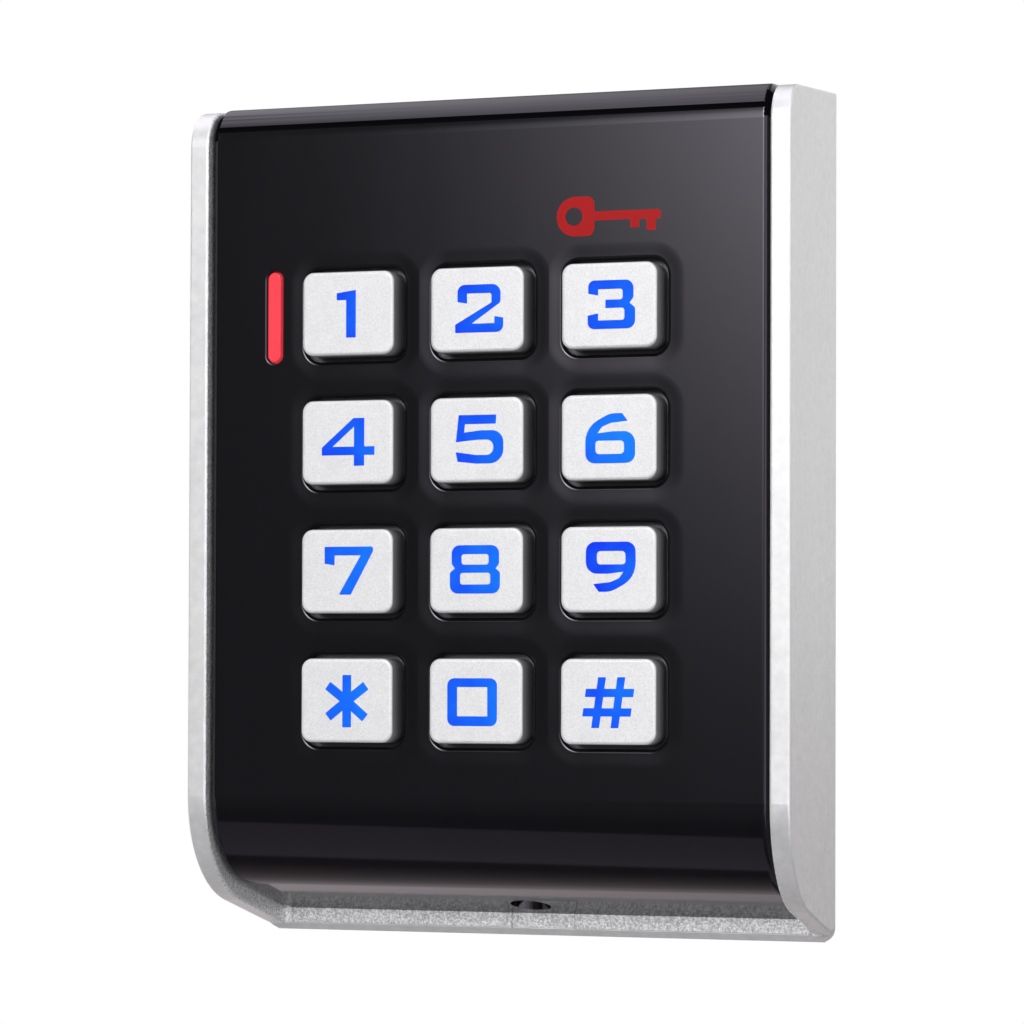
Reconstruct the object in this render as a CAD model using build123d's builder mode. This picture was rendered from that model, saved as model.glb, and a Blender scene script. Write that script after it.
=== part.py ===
from build123d import *
import math
import os

# Keypad access reader: a wall-mounted keypad and card reader.
# X is to the right, +Y points into the wall and +Z up. The origin is the centre of the back face,
# on the wall, so the front is at negative Y. Heights and depths are in millimetres.

# ---- Housing frame: two cheeks joined by a rail at the top and at the bottom
WIDTH = 84.0  # across the cheeks at the front
HEIGHT = 113.4  # at the wall
DEPTH = 25.7  # wall to the front of the cheeks
SIDE_LEAN = 1.05  # how far each side leans in from the front to the wall
UNDERSIDE_SLOPE = 15.2  # degrees, the underside rises towards the front
TOP_SLOPE = 4.9  # degrees, the top falls towards the front
CHEEK = 2.7  # thickness of each cheek
CHEEK_TOP_R = 5.25
CHEEK_BOTTOM_R = 15.0
CHEEK_EDGE_R = 0.3
LOWER_CORNER_R = 2.0  # lower corners of the outline on the wall
RIM_DEPTH = 0.8  # the thin rim that meets the wall
RIM_RISE = 0.9  # height of the rim's bevel at the bottom
RIM_CORNER_R = 0.9  # hollow corners between the lower rim and the cheeks
ROOT = 1.35  # how far the rails and ears reach into the cheeks
RAIL_DEPTH = 3.4
RIB_GAP = 0.3  # between a rail's rib and the inside of the panel's skin
LOWER_RAIL_TOP = 10.0  # above the bottom of the reader
UPPER_RAIL_DROP = 10.2  # underside of the upper rail, below the top of the reader
NOTCH_WIDTH = 9.2  # gap in the lower rail for the back plate's tab
EAR_THICKNESS = 2.2
EAR_REACH = 8.6  # from the cheek's inner face inwards
EAR_HEIGHT = 8.4

# ---- Front panel
PANEL_RECESS = 0.8  # face of the panel behind the front of the cheeks
PANEL_LIFT = 2.1  # underside of the panel above the underside of the cheeks
PANEL_CROWN = 0.3  # top of the panel above the top of the cheeks
PANEL_SKIN = 1.8
PANEL_BOTTOM_R = 12.5
PANEL_EDGE_R = 1.0
PANEL_TOP_R = 5.0
CREASE_R = 0.6  # shallow groove across the round top edge
CREASE_DEPTH = 0.2
CREASE_ANGLE = 20.0  # degrees, where the groove lies on the round edge, from the flat face
SIDE_WALL = 1.5
REAR_ROOM = 7.7  # between the ends of the side walls and bosses and the wall
SEAM = 0.15  # gap between the panel and each cheek
REAR_SEAM = 0.1  # gap between the panel's rear edge and the rim
FRAME_BOSS_R = 3.0
FRAME_SCREW_INSET = 9.0  # from the side of the reader to the screw's axis
LOWER_FRAME_SCREW_RISE = 17.0  # above the bottom of the reader
UPPER_FRAME_SCREW_DROP = 11.9  # below the top of the reader

# ---- Keys
KEY_NAMES = (("1", "2", "3"), ("4", "5", "6"), ("7", "8", "9"), ("star", "0", "hash"))
KEYS_SIDE_MARGIN = 17.3  # from the side of the reader to the outer keys
KEYS_TOP_MARGIN = 24.675  # from the top of the reader to the upper keys
KEYS_BOTTOM_MARGIN = 26.475  # from the bottom of the reader to the lower keys
KEY_GAP_X = 5.2  # between neighbouring keys
KEY_GAP_Z = 5.95
KEY_CORNER_R = 1.5
KEY_EDGE_R = 0.4
KEY_PROUD = 2.6  # face of a key in front of the panel
KEY_TRAVEL = 1.2
WINDOW_GAP = 0.6
WINDOW_EDGE_R = 0.5
FLANGE_OVERLAP = 0.8  # how far a key's flange reaches behind the panel
FLANGE_THICKNESS = 0.9
FLANGE_PLAY = 0.15
POCKET_INSET = 1.8  # wall between a key's side and its pocket
POCKET_FLOOR = 2.2  # thickness of a key's face
POCKET_CORNER_R = 0.75
PLUNGER_FIT = 0.1
PLUNGER_FOOT_R = 4.6
PLUNGER_FOOT = 1.9  # plunger behind the key's flange
PILL_R = 2.5
PILL_THICKNESS = 0.4
CONTACT_GAP = 0.05  # left between a pressed pill and the board
MAT_THICKNESS = 1.0
MAT_MARGIN = 1.0  # mat beyond the key flanges
MAT_HOLE_R = 5.5

# ---- Circuit board and what it carries
BOARD_SIDE_GAP = 2.15  # between the board and the panel's side walls, at the front
BOARD_TOP_GAP = 1.65  # below the upper bosses for the frame screws
BOARD_BOTTOM_GAP = 2.35  # above the lower bosses
BOARD_THICKNESS = 1.6
BOARD_CORNER_R = 2.0
BOARD_SCREW_INSET_X = 3.0  # from the board's edge to the screw's axis
BOARD_SCREW_INSET_Z = 3.5
BOARD_BOSS_R = 2.5
SMALL_SCREW_R = 1.1
SMALL_SCREW_HEAD_R = 2.1
SMALL_SCREW_HEAD = 1.5
SMALL_DRIVE_LENGTH = 2.2
SMALL_DRIVE_WIDTH = 0.55
SMALL_DRIVE_DEPTH = 0.75
SCREW_CLEARANCE = 0.2  # radial, in the parts that a screw passes through
THREAD_FIT = 0.05  # radial, where a screw is threaded in
SCREW_BITE = 3.4  # length of a board screw in its boss
FRAME_SCREW_BITE = 7.0  # length of a frame screw in its boss
CHIP_X = 13.0  # from the middle of the board, on each side of the crystal
CHIP_DROP = 8.15  # below the top of the board
CHIP_SIZE = 7.0
READER_CHIP_WIDTH = 3.5
CHIP_HEIGHT = 1.4
CHIP_STANDOFF = 0.2
LEAD_PITCH = 0.8
LEAD_COUNT = 8
LEAD_WIDTH = 0.4
LEAD_REACH = 1.0
LEAD_LEVEL = 0.7  # top of the leads above the board
CRYSTAL_LENGTH = 11.0
CRYSTAL_WIDTH = 4.6
CRYSTAL_HEIGHT = 3.5
CRYSTAL_EDGE_R = 0.55
REGULATOR_INSET = 15.5  # from the board's side, for the regulator and the capacitor
REGULATOR_RISE = 0.0
REGULATOR_WIDTH = 6.5
REGULATOR_BODY = 3.25
REGULATOR_HEIGHT = 1.6
REGULATOR_LEAD_WIDTH = 3.25
REGULATOR_LEAD = 0.55
CAPACITOR_R = 3.15
CAPACITOR_HEIGHT = 7.0
CAPACITOR_EDGE_R = 0.4
BUZZER_R = 6.0
BUZZER_HEIGHT = 5.5
BUZZER_EDGE_R = 0.5
BUZZER_HOLE_R = 1.0
BUZZER_HOLE_DEPTH = 2.75
HEADER_LENGTH = 22.0
HEADER_WIDTH = 6.0
HEADER_HEIGHT = 7.0
HEADER_WALL = 0.8
HEADER_PITCH = 2.5
HEADER_PINS = 8
COIL_SECTION = 1.0
COIL_HEIGHT = 1.2
COIL_GAP = 0.2
COIL_CORNER_R = 4.0
LED_LENGTH = 2.0
LED_WIDTH = 1.2
LED_HEIGHT = 0.7
LED_WINDOW_GAP = 0.3
BACKLIGHT_OFFSET_X = 5.9
BACKLIGHT_OFFSET_Z = 4.9

# ---- Status light
BAR_WIDTH = 1.9
BAR_OVERHANG = 0.45  # bar beyond the upper and lower sides of the key beside it
BAR_GAP = 5.1  # from the side of the left keys to the centre of the bar
BAR_PROUD = 0.15
BAR_EDGE_R = 0.3
BAR_FIT = 0.15
BAR_FLANGE_OVERLAP = 0.7
BAR_FLANGE = 0.8
BAR_LED_GAP = 0.2
STATUS_LED_PITCH = 6.0

# ---- Rear cover
COVER_SPACE = 7.7  # between the board and the cover's plate
COVER_WALL = 1.5
COVER_EDGE_R = 0.75
COVER_INNER_R = 1.0
COVER_INSET = 0.3  # outline inside the board's edge
COVER_COLUMN_R = 3.1
COVER_SEAT = 2.2  # thickness under a screw head
PLUG_OPENING_WIDTH = 26.0
PLUG_OPENING_HEIGHT = 10.0
CABLE_RISE = 14.5  # centre of the cable entry above the centre of the reader

# ---- Back plate
PLATE_THICKNESS = 1.5
PLATE_SIDE_GAP = 0.5
PLATE_RAIL_GAP = 0.3
PLATE_RIM = 1.2
PLATE_RIM_DEPTH = 1.8
PLATE_CORNER_R = 3.0
CABLE_HOLE_R = 11.0
TAB_FIT = 0.1  # between the tab and the notch in the lower rail
WALL_SCREW_SPACING = 60.0  # of a wall box, for the level slots and for the upright holes
SLOT_LENGTH = 6.4
SCREW_HOLE_R = 2.1
HOOK_INSET = 20.0  # from the side of the reader to the middle of a hook
HOOK_WIDTH = 8.0
HOOK_THICKNESS = 1.8
HOOK_GAP = 0.5  # between the hook and the rail that it holds
HOOK_REST = 0.1  # between the hook's arm and the rail above it
HOOK_RISE = 4.5
LUG_WIDTH = 8.4
LUG_THICKNESS = 3.0
LUG_EDGE = 4.0  # lug in front of the screw's axis

# ---- Closing screw, upright, through the panel's underside into the back plate's lug
CLOSING_SCREW_DEPTH = 5.9  # axis in front of the wall
CLOSING_HOLE_R = 2.8
CLOSING_HEAD_R = 2.5
CLOSING_HEAD = 1.9
CLOSING_HEAD_EDGE_R = 0.45
CLOSING_SHANK_R = 1.45
CLOSING_BOSS_R = 4.2
CLOSING_BOSS_TOP = 9.5  # above the bottom of the reader
CLOSING_SEAT = 2.0  # thickness above the screw's head
CLOSING_BOSS_GAP = 0.1  # between the boss and the lug
CLOSING_THREAD_END = 1.2  # screw beyond the lug
DRIVE_R = 1.2
DRIVE_DEPTH = 0.95

# ---- Tamper switch, pressed by the wall through the back plate
TAMPER_INSET = 14.5  # from the board's side, for the switch and the buzzer
TAMPER_RISE = 9.35  # above the bottom of the board
TAMPER_TRAVEL = 1.5
TAMPER_BODY = 6.0
TAMPER_BODY_CHAMFER = 0.6
TAMPER_BODY_HEIGHT = 3.5
TAMPER_PIN_R = 1.75
TAMPER_PIN_EDGE_R = 0.45
TAMPER_FOOT_R = 2.8
TAMPER_FOOT = 1.0
TAMPER_FIT = 0.1
TAMPER_HOLE_R = 3.0

# ---- Levels that follow from the sizes above
TOP = HEIGHT / 2
BOTTOM = -HEIGHT / 2
FRONT = -DEPTH
FACE = FRONT + PANEL_RECESS
SKIN_BACK = FACE + PANEL_SKIN
FLANGE_FRONT = SKIN_BACK + FLANGE_PLAY
FLANGE_BACK = FLANGE_FRONT + FLANGE_THICKNESS
FOOT_BACK = FLANGE_BACK + PLUNGER_FOOT
PILL_BACK = FOOT_BACK + PILL_THICKNESS
BOARD_FRONT = PILL_BACK + KEY_TRAVEL + CONTACT_GAP
BOARD_BACK = BOARD_FRONT + BOARD_THICKNESS
COVER_FRONT = BOARD_BACK + COVER_SPACE
COVER_BACK = COVER_FRONT + COVER_WALL
WALLS_BACK = -REAR_ROOM
EAR_FRONT = WALLS_BACK + REAR_SEAM
EAR_BACK = EAR_FRONT + EAR_THICKNESS
PLATE_FRONT = -PLATE_THICKNESS
RIM_FRONT = -RIM_DEPTH
RAIL_FRONT = -RAIL_DEPTH
PANEL_REAR = RIM_FRONT - REAR_SEAM
UPPER_RAIL_UNDER = TOP - UPPER_RAIL_DROP
LOWER_RAIL_LEVEL = BOTTOM + LOWER_RAIL_TOP
KEY_WIDTH = (WIDTH - 2 * KEYS_SIDE_MARGIN - 2 * KEY_GAP_X) / 3
KEY_HEIGHT = (HEIGHT - KEYS_TOP_MARGIN - KEYS_BOTTOM_MARGIN - 3 * KEY_GAP_Z) / 4
KEY_PITCH_X = KEY_WIDTH + KEY_GAP_X
KEY_PITCH_Z = KEY_HEIGHT + KEY_GAP_Z
KEYPAD_RISE = (KEYS_BOTTOM_MARGIN - KEYS_TOP_MARGIN) / 2
WINDOW_WIDTH = KEY_WIDTH + 2 * WINDOW_GAP
WINDOW_HEIGHT = KEY_HEIGHT + 2 * WINDOW_GAP
WINDOW_CORNER_R = KEY_CORNER_R + WINDOW_GAP
FLANGE_WIDTH = WINDOW_WIDTH + 2 * FLANGE_OVERLAP
FLANGE_HEIGHT = WINDOW_HEIGHT + 2 * FLANGE_OVERLAP
FLANGE_CORNER_R = WINDOW_CORNER_R + FLANGE_OVERLAP
MAT_WIDTH = 2 * KEY_PITCH_X + FLANGE_WIDTH + 2 * MAT_MARGIN
MAT_HEIGHT = 3 * KEY_PITCH_Z + FLANGE_HEIGHT + 2 * MAT_MARGIN
TOP_ROW = TOP - KEYS_TOP_MARGIN - KEY_HEIGHT / 2
CLOSING_Y = -CLOSING_SCREW_DEPTH
POCKET_WIDTH = KEY_WIDTH - 2 * POCKET_INSET
POCKET_HEIGHT = KEY_HEIGHT - 2 * POCKET_INSET
POCKET_DEPTH = FLANGE_BACK - FACE + KEY_PROUD - POCKET_FLOOR
FRAME_SCREW_X = WIDTH / 2 - FRAME_SCREW_INSET
LOWER_SCREW_LEVEL = BOTTOM + LOWER_FRAME_SCREW_RISE
UPPER_SCREW_LEVEL = TOP - UPPER_FRAME_SCREW_DROP
BOARD_WIDTH = WIDTH - 2 * (CHEEK + SEAM + SIDE_WALL + BOARD_SIDE_GAP)
BOARD_TOP = UPPER_SCREW_LEVEL - FRAME_BOSS_R - BOARD_TOP_GAP
BOARD_BOTTOM = LOWER_SCREW_LEVEL + FRAME_BOSS_R + BOARD_BOTTOM_GAP
BOARD_HEIGHT = BOARD_TOP - BOARD_BOTTOM
BOARD_RISE = (BOARD_TOP + BOARD_BOTTOM) / 2
CHIP_LEVEL = BOARD_TOP - CHIP_DROP
REGULATOR_X = BOARD_WIDTH / 2 - REGULATOR_INSET
TAMPER_X = BOARD_WIDTH / 2 - TAMPER_INSET
TAMPER_LEVEL = BOARD_BOTTOM + TAMPER_RISE
BAR_LENGTH = KEY_HEIGHT + 2 * BAR_OVERHANG
BAR_X = -(KEY_PITCH_X + KEY_WIDTH / 2 + BAR_GAP)
HOOK_X = WIDTH / 2 - HOOK_INSET
COVER_WIDTH = BOARD_WIDTH - 2 * COVER_INSET
COVER_HEIGHT = BOARD_HEIGHT - 2 * COVER_INSET
PLATE_WIDTH = 2 * (WIDTH / 2 - CHEEK - SIDE_LEAN - PLATE_SIDE_GAP)
PLATE_UNDER = LOWER_RAIL_LEVEL + PLATE_RAIL_GAP
PLATE_UPPER = UPPER_RAIL_UNDER - PLATE_RAIL_GAP
PLATE_HEIGHT = PLATE_UPPER - PLATE_UNDER
PLATE_CENTRE = (PLATE_UPPER + PLATE_UNDER) / 2
HOOK_BACK = RAIL_FRONT - HOOK_GAP
HOOK_ARM_TOP = UPPER_RAIL_UNDER - HOOK_REST
LUG_UNDER = BOTTOM + CLOSING_BOSS_TOP + CLOSING_BOSS_GAP
TAB_UNDER = BOTTOM + RIM_RISE + TAB_FIT
PAST = 5.0  # how far cutting shapes run past what they cut


def facing(y: float) -> Plane:
    """An upright plane at depth y that faces the front, with X and Z as its own axes."""
    return Plane(origin=(0, y, 0), x_dir=(1, 0, 0), z_dir=(0, -1, 0))


def half_width(y: float, inset: float) -> float:
    """Half the width between the leaning sides at depth y, taken in by inset on each side."""
    return WIDTH / 2 - inset - SIDE_LEAN * (y - FRONT) / DEPTH


def underside(y: float) -> float:
    """Height of the cheeks' sloping underside at depth y."""
    return BOTTOM + RIM_RISE + (RIM_FRONT - y) * math.tan(math.radians(UNDERSIDE_SLOPE))


def topside(y: float) -> float:
    """Height of the cheeks' sloping top at depth y."""
    return TOP + y * math.tan(math.radians(TOP_SLOPE))


def panel_underside(y: float) -> float:
    """Height of the panel's sloping underside at depth y."""
    return underside(y) + PANEL_LIFT


def panel_floor(y: float) -> float:
    """Height of the inside of the panel's lower skin at depth y."""
    return panel_underside(y) + PANEL_SKIN / math.cos(math.radians(UNDERSIDE_SLOPE))


def panel_ceiling(y: float) -> float:
    """Height of the inside of the panel's upper skin at depth y."""
    return topside(y) + PANEL_CROWN - PANEL_SKIN / math.cos(math.radians(TOP_SLOPE))


def leaning_outline(inset: float) -> list:
    """Corners, seen from above, of the space between the leaning sides."""
    near = FRONT - PAST
    far = PAST
    return [
        (-half_width(near, inset), near),
        (half_width(near, inset), near),
        (half_width(far, inset), far),
        (-half_width(far, inset), far),
    ]


def key_places() -> list:
    """Centre of each key with its name, from the top left."""
    places = []
    for row, names in enumerate(KEY_NAMES):
        for column, name in enumerate(names):
            places.append((name, (column - 1) * KEY_PITCH_X, TOP_ROW - row * KEY_PITCH_Z))
    return places


LOWER_RIB_LEVEL = panel_floor(RAIL_FRONT) + RIB_GAP
UPPER_RIB_LEVEL = panel_ceiling(RAIL_FRONT) - RIB_GAP
KEY_CENTRES = [(x, z) for _, x, z in key_places()]
BACKLIGHTS = [
    (x + side * BACKLIGHT_OFFSET_X, z + side * BACKLIGHT_OFFSET_Z)
    for x, z in KEY_CENTRES
    for side in (-1, 1)
]
FRAME_SCREWS = [
    (side * FRAME_SCREW_X, level)
    for level in (LOWER_SCREW_LEVEL, UPPER_SCREW_LEVEL)
    for side in (-1, 1)
]
BOARD_SCREWS = [
    (side * (BOARD_WIDTH / 2 - BOARD_SCREW_INSET_X), level)
    for level in (BOARD_BOTTOM + BOARD_SCREW_INSET_Z, BOARD_TOP - BOARD_SCREW_INSET_Z)
    for side in (-1, 1)
]


def save(piece: BuildPart, name: str) -> None:
    """Label one piece and write it."""
    piece.part.label = name
    export_step(piece.part, f"parts/{name}.step")


# ---- Housing frame
with BuildPart() as housing_frame:
    with BuildSketch(Plane.YZ) as cheek_side:
        with BuildLine():
            Polyline(
                (0, BOTTOM),
                (RIM_FRONT, underside(RIM_FRONT)),
                (FRONT, underside(FRONT)),
                (FRONT, topside(FRONT)),
                (0, TOP),
                close=True,
            )
        make_face()
        fillet(cheek_side.vertices().group_by(Axis.X)[0].sort_by(Axis.Y)[0], CHEEK_BOTTOM_R)
        fillet(cheek_side.vertices().group_by(Axis.X)[0].sort_by(Axis.Y)[-1], CHEEK_TOP_R)
    extrude(amount=WIDTH, both=True)
    with BuildSketch(Plane.XY.offset(BOTTOM - PAST)):
        Polygon(*leaning_outline(0), align=None)
        Polygon(*leaning_outline(CHEEK), align=None, mode=Mode.SUBTRACT)
    extrude(amount=HEIGHT + 2 * PAST, mode=Mode.INTERSECT)
    cheek_fronts = housing_frame.edges().filter_by(lambda edge: edge.center().Y < RIM_FRONT - REAR_SEAM)
    fillet(cheek_fronts, CHEEK_EDGE_R)
    # lower corners, rounded as they meet the wall
    with BuildSketch(Plane.XZ.offset(-PAST)):
        for side, outwards in ((-1, Align.MAX), (1, Align.MIN)):
            with Locations((side * half_width(0, LOWER_CORNER_R), BOTTOM + LOWER_CORNER_R)):
                Rectangle(LOWER_CORNER_R + PAST, LOWER_CORNER_R + PAST, align=(outwards, Align.MAX))
                Circle(LOWER_CORNER_R, mode=Mode.SUBTRACT)
    extrude(amount=PAST + DEPTH / 2, mode=Mode.SUBTRACT)
    # rails, each with a thin rim on the wall and a rib behind the panel's skin
    with BuildSketch(Plane.YZ):
        Polygon(
            (0, BOTTOM),
            (0, LOWER_RAIL_LEVEL),
            (RAIL_FRONT, LOWER_RAIL_LEVEL),
            (RAIL_FRONT, LOWER_RIB_LEVEL),
            (RIM_FRONT, LOWER_RIB_LEVEL),
            (RIM_FRONT, BOTTOM + RIM_RISE),
            align=None,
        )
        Polygon(
            (0, TOP),
            (RIM_FRONT, topside(RIM_FRONT)),
            (RIM_FRONT, UPPER_RIB_LEVEL),
            (RAIL_FRONT, UPPER_RIB_LEVEL),
            (RAIL_FRONT, UPPER_RAIL_UNDER),
            (0, UPPER_RAIL_UNDER),
            align=None,
        )
    extrude(amount=half_width(0, CHEEK - ROOT), both=True)
    with BuildSketch(Plane.XZ.offset(-PAST)):
        with Locations((0, BOTTOM + RIM_RISE)):
            Rectangle(NOTCH_WIDTH, LOWER_RAIL_TOP, align=(Align.CENTER, Align.MIN))
    extrude(amount=PAST + RAIL_DEPTH + PAST, mode=Mode.SUBTRACT)
    # hollow corners where the lower rim meets the cheeks, below the panel
    with BuildSketch(Plane.XY.offset(BOTTOM + RIM_RISE)):
        for side, inwards in ((-1, Align.MIN), (1, Align.MAX)):
            with Locations((side * half_width(RIM_FRONT, CHEEK), RIM_FRONT)):
                Rectangle(RIM_CORNER_R, RIM_CORNER_R, align=(inwards, Align.MAX))
            with Locations((side * half_width(RIM_FRONT, CHEEK + RIM_CORNER_R), RIM_FRONT - RIM_CORNER_R)):
                Circle(RIM_CORNER_R, mode=Mode.SUBTRACT)
            with Locations((side * half_width(RIM_FRONT, CHEEK), RIM_FRONT)):
                Rectangle(ROOT, RIM_CORNER_R, align=(Align.MIN if side > 0 else Align.MAX, Align.MAX))
    extrude(amount=panel_underside(PANEL_REAR) - REAR_SEAM - BOTTOM - RIM_RISE)
    # ears behind the panel's bosses
    for side in (-1, 1):
        with BuildSketch(facing(EAR_BACK)):
            for x, z in FRAME_SCREWS:
                if x * side > 0:
                    with Locations((side * (half_width(EAR_FRONT, CHEEK) - EAR_REACH / 2 + ROOT / 2), z)):
                        Rectangle(EAR_REACH + ROOT, EAR_HEIGHT)
        extrude(amount=EAR_THICKNESS)
    with BuildSketch(facing(EAR_BACK)):
        with Locations(*FRAME_SCREWS):
            Circle(SMALL_SCREW_R + SCREW_CLEARANCE)
    extrude(amount=EAR_THICKNESS, mode=Mode.SUBTRACT)

save(housing_frame, "housing_frame")

# ---- Hollow behind the front panel's skin, less the bosses that stand in it
with BuildPart() as panel_hollow:
    with BuildSketch(Plane.YZ) as hollow_side:
        Polygon(
            (PAST, panel_floor(PAST)),
            (SKIN_BACK, panel_floor(SKIN_BACK)),
            (SKIN_BACK, panel_ceiling(SKIN_BACK)),
            (PAST, panel_ceiling(PAST)),
            align=None,
        )
        fillet(hollow_side.vertices().group_by(Axis.X)[0].sort_by(Axis.Y)[0], PANEL_BOTTOM_R - PANEL_SKIN)
        fillet(hollow_side.vertices().group_by(Axis.X)[0].sort_by(Axis.Y)[-1], PANEL_TOP_R - PANEL_SKIN)
    extrude(amount=WIDTH, both=True)
    wall_inset = CHEEK + SEAM + SIDE_WALL
    with BuildSketch(Plane.XY.offset(BOTTOM - PAST)):
        Polygon(*leaning_outline(wall_inset), align=None)
        with Locations((0, WALLS_BACK)):
            Rectangle(2 * WIDTH, DEPTH + PAST, align=(Align.CENTER, Align.MIN))
    extrude(amount=HEIGHT + 2 * PAST, mode=Mode.INTERSECT)
    with BuildSketch(facing(WALLS_BACK)):
        with Locations(*FRAME_SCREWS):
            Circle(FRAME_BOSS_R)
    extrude(amount=DEPTH, mode=Mode.SUBTRACT)
    with BuildSketch(facing(BOARD_FRONT)):
        with Locations(*BOARD_SCREWS):
            Circle(BOARD_BOSS_R)
    extrude(amount=DEPTH, mode=Mode.SUBTRACT)
    with BuildSketch(Plane.XY.offset(BOTTOM + CLOSING_BOSS_TOP)):
        with Locations((0, CLOSING_Y)):
            Circle(CLOSING_BOSS_R)
    extrude(amount=-HEIGHT, mode=Mode.SUBTRACT)

# ---- Front panel
with BuildPart() as front_panel:
    with BuildSketch(Plane.YZ) as panel_side:
        Polygon(
            (PANEL_REAR, panel_underside(PANEL_REAR)),
            (FACE, panel_underside(FACE)),
            (FACE, topside(FACE) + PANEL_CROWN),
            (PANEL_REAR, topside(PANEL_REAR) + PANEL_CROWN),
            align=None,
        )
        fillet(panel_side.vertices().group_by(Axis.X)[0].sort_by(Axis.Y)[0], PANEL_BOTTOM_R)
        fillet(panel_side.vertices().group_by(Axis.X)[0].sort_by(Axis.Y)[-1], PANEL_TOP_R)
    extrude(amount=WIDTH, both=True)
    with BuildSketch(Plane.XY.offset(BOTTOM - PAST)):
        Polygon(*leaning_outline(CHEEK + SEAM), align=None)
    extrude(amount=HEIGHT + 2 * PAST, mode=Mode.INTERSECT)
    side_edges = front_panel.edges().filter_by(
        lambda edge: abs(edge.center().X) > half_width(0, CHEEK + SEAM) - SEAM
        and edge.center().Y < RAIL_FRONT
    )
    fillet(side_edges, PANEL_EDGE_R)
    round_edge_level = front_panel.faces().filter_by(Axis.Y).sort_by(Axis.Y)[0].bounding_box().max.Z
    with BuildSketch(Plane.YZ):
        with Locations((FACE + PANEL_TOP_R, round_edge_level)):
            with PolarLocations(PANEL_TOP_R + CREASE_R - CREASE_DEPTH, 1, 180 - CREASE_ANGLE):
                Circle(CREASE_R)
    extrude(amount=WIDTH, both=True, mode=Mode.SUBTRACT)
    add(panel_hollow.part, mode=Mode.SUBTRACT)
    # key windows
    with BuildSketch(facing(FACE)):
        with Locations(*KEY_CENTRES):
            RectangleRounded(WINDOW_WIDTH, WINDOW_HEIGHT, WINDOW_CORNER_R)
    extrude(amount=-(PANEL_SKIN + SEAM), mode=Mode.SUBTRACT)
    face = front_panel.faces().filter_by(Axis.Y).filter_by(lambda f: abs(f.center().Y - FACE) < SEAM)
    window_edges = face.sort_by(SortBy.AREA)[-1].inner_wires().edges()
    fillet(window_edges, WINDOW_EDGE_R)
    # slot for the status light's bar
    with BuildSketch(facing(FACE)):
        with Locations((BAR_X, TOP_ROW)):
            SlotOverall(BAR_LENGTH + 2 * BAR_FIT, BAR_WIDTH + 2 * BAR_FIT, rotation=90)
    extrude(amount=-(PANEL_SKIN + SEAM), mode=Mode.SUBTRACT)
    front_edges = front_panel.edges().filter_by(lambda edge: abs(edge.center().Y - FACE) < REAR_SEAM)
    fillet(front_edges.filter_by(lambda edge: abs(edge.center().X - BAR_X) < BAR_WIDTH), BAR_EDGE_R)
    # pilot holes for the screws that come from behind
    with BuildSketch(facing(WALLS_BACK)):
        with Locations(*FRAME_SCREWS):
            Circle(SMALL_SCREW_R + THREAD_FIT)
    extrude(amount=FRAME_SCREW_BITE + THREAD_FIT, mode=Mode.SUBTRACT)
    with BuildSketch(facing(BOARD_FRONT)):
        with Locations(*BOARD_SCREWS):
            Circle(SMALL_SCREW_R + THREAD_FIT)
    extrude(amount=SCREW_BITE + THREAD_FIT, mode=Mode.SUBTRACT)
    # closing screw: a wide hole for the head, then a seat with a hole for the shank
    with BuildSketch(Plane.XY.offset(BOTTOM + CLOSING_BOSS_TOP - CLOSING_SEAT)):
        with Locations((0, CLOSING_Y)):
            Circle(CLOSING_HOLE_R)
    extrude(amount=-HEIGHT, mode=Mode.SUBTRACT)
    with BuildSketch(Plane.XY.offset(BOTTOM + CLOSING_BOSS_TOP)):
        with Locations((0, CLOSING_Y)):
            Circle(CLOSING_SHANK_R + SCREW_CLEARANCE)
    extrude(amount=-CLOSING_SEAT, mode=Mode.SUBTRACT)

save(front_panel, "front_panel")

# ---- Keys, each with its silicone plunger and carbon pill
for key_name, key_x, key_z in key_places():
    with BuildPart() as keycap:
        with BuildSketch(facing(FLANGE_FRONT)):
            with Locations((key_x, key_z)):
                RectangleRounded(KEY_WIDTH, KEY_HEIGHT, KEY_CORNER_R)
        extrude(amount=FLANGE_FRONT - FACE + KEY_PROUD)
        fillet(keycap.faces().sort_by(Axis.Y)[0].edges(), KEY_EDGE_R)
        with BuildSketch(facing(FLANGE_BACK)):
            with Locations((key_x, key_z)):
                RectangleRounded(FLANGE_WIDTH, FLANGE_HEIGHT, FLANGE_CORNER_R)
        extrude(amount=FLANGE_THICKNESS)
        with BuildSketch(facing(FLANGE_BACK)):
            with Locations((key_x, key_z)):
                RectangleRounded(POCKET_WIDTH, POCKET_HEIGHT, POCKET_CORNER_R)
        extrude(amount=POCKET_DEPTH, mode=Mode.SUBTRACT)
    save(keycap, f"key_{key_name}")

    with BuildPart() as plunger:
        with BuildSketch(facing(FLANGE_BACK)):
            with Locations((key_x, key_z)):
                RectangleRounded(
                    POCKET_WIDTH - 2 * PLUNGER_FIT,
                    POCKET_HEIGHT - 2 * PLUNGER_FIT,
                    POCKET_CORNER_R - PLUNGER_FIT,
                )
        extrude(amount=POCKET_DEPTH - PLUNGER_FIT)
        with BuildSketch(facing(FOOT_BACK)):
            with Locations((key_x, key_z)):
                Circle(PLUNGER_FOOT_R)
        extrude(amount=PLUNGER_FOOT)
    save(plunger, f"key_{key_name}_plunger")

    with BuildPart() as pill:
        with BuildSketch(facing(PILL_BACK)):
            with Locations((key_x, key_z)):
                Circle(PILL_R)
        extrude(amount=PILL_THICKNESS)
    save(pill, f"key_{key_name}_pill")

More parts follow.
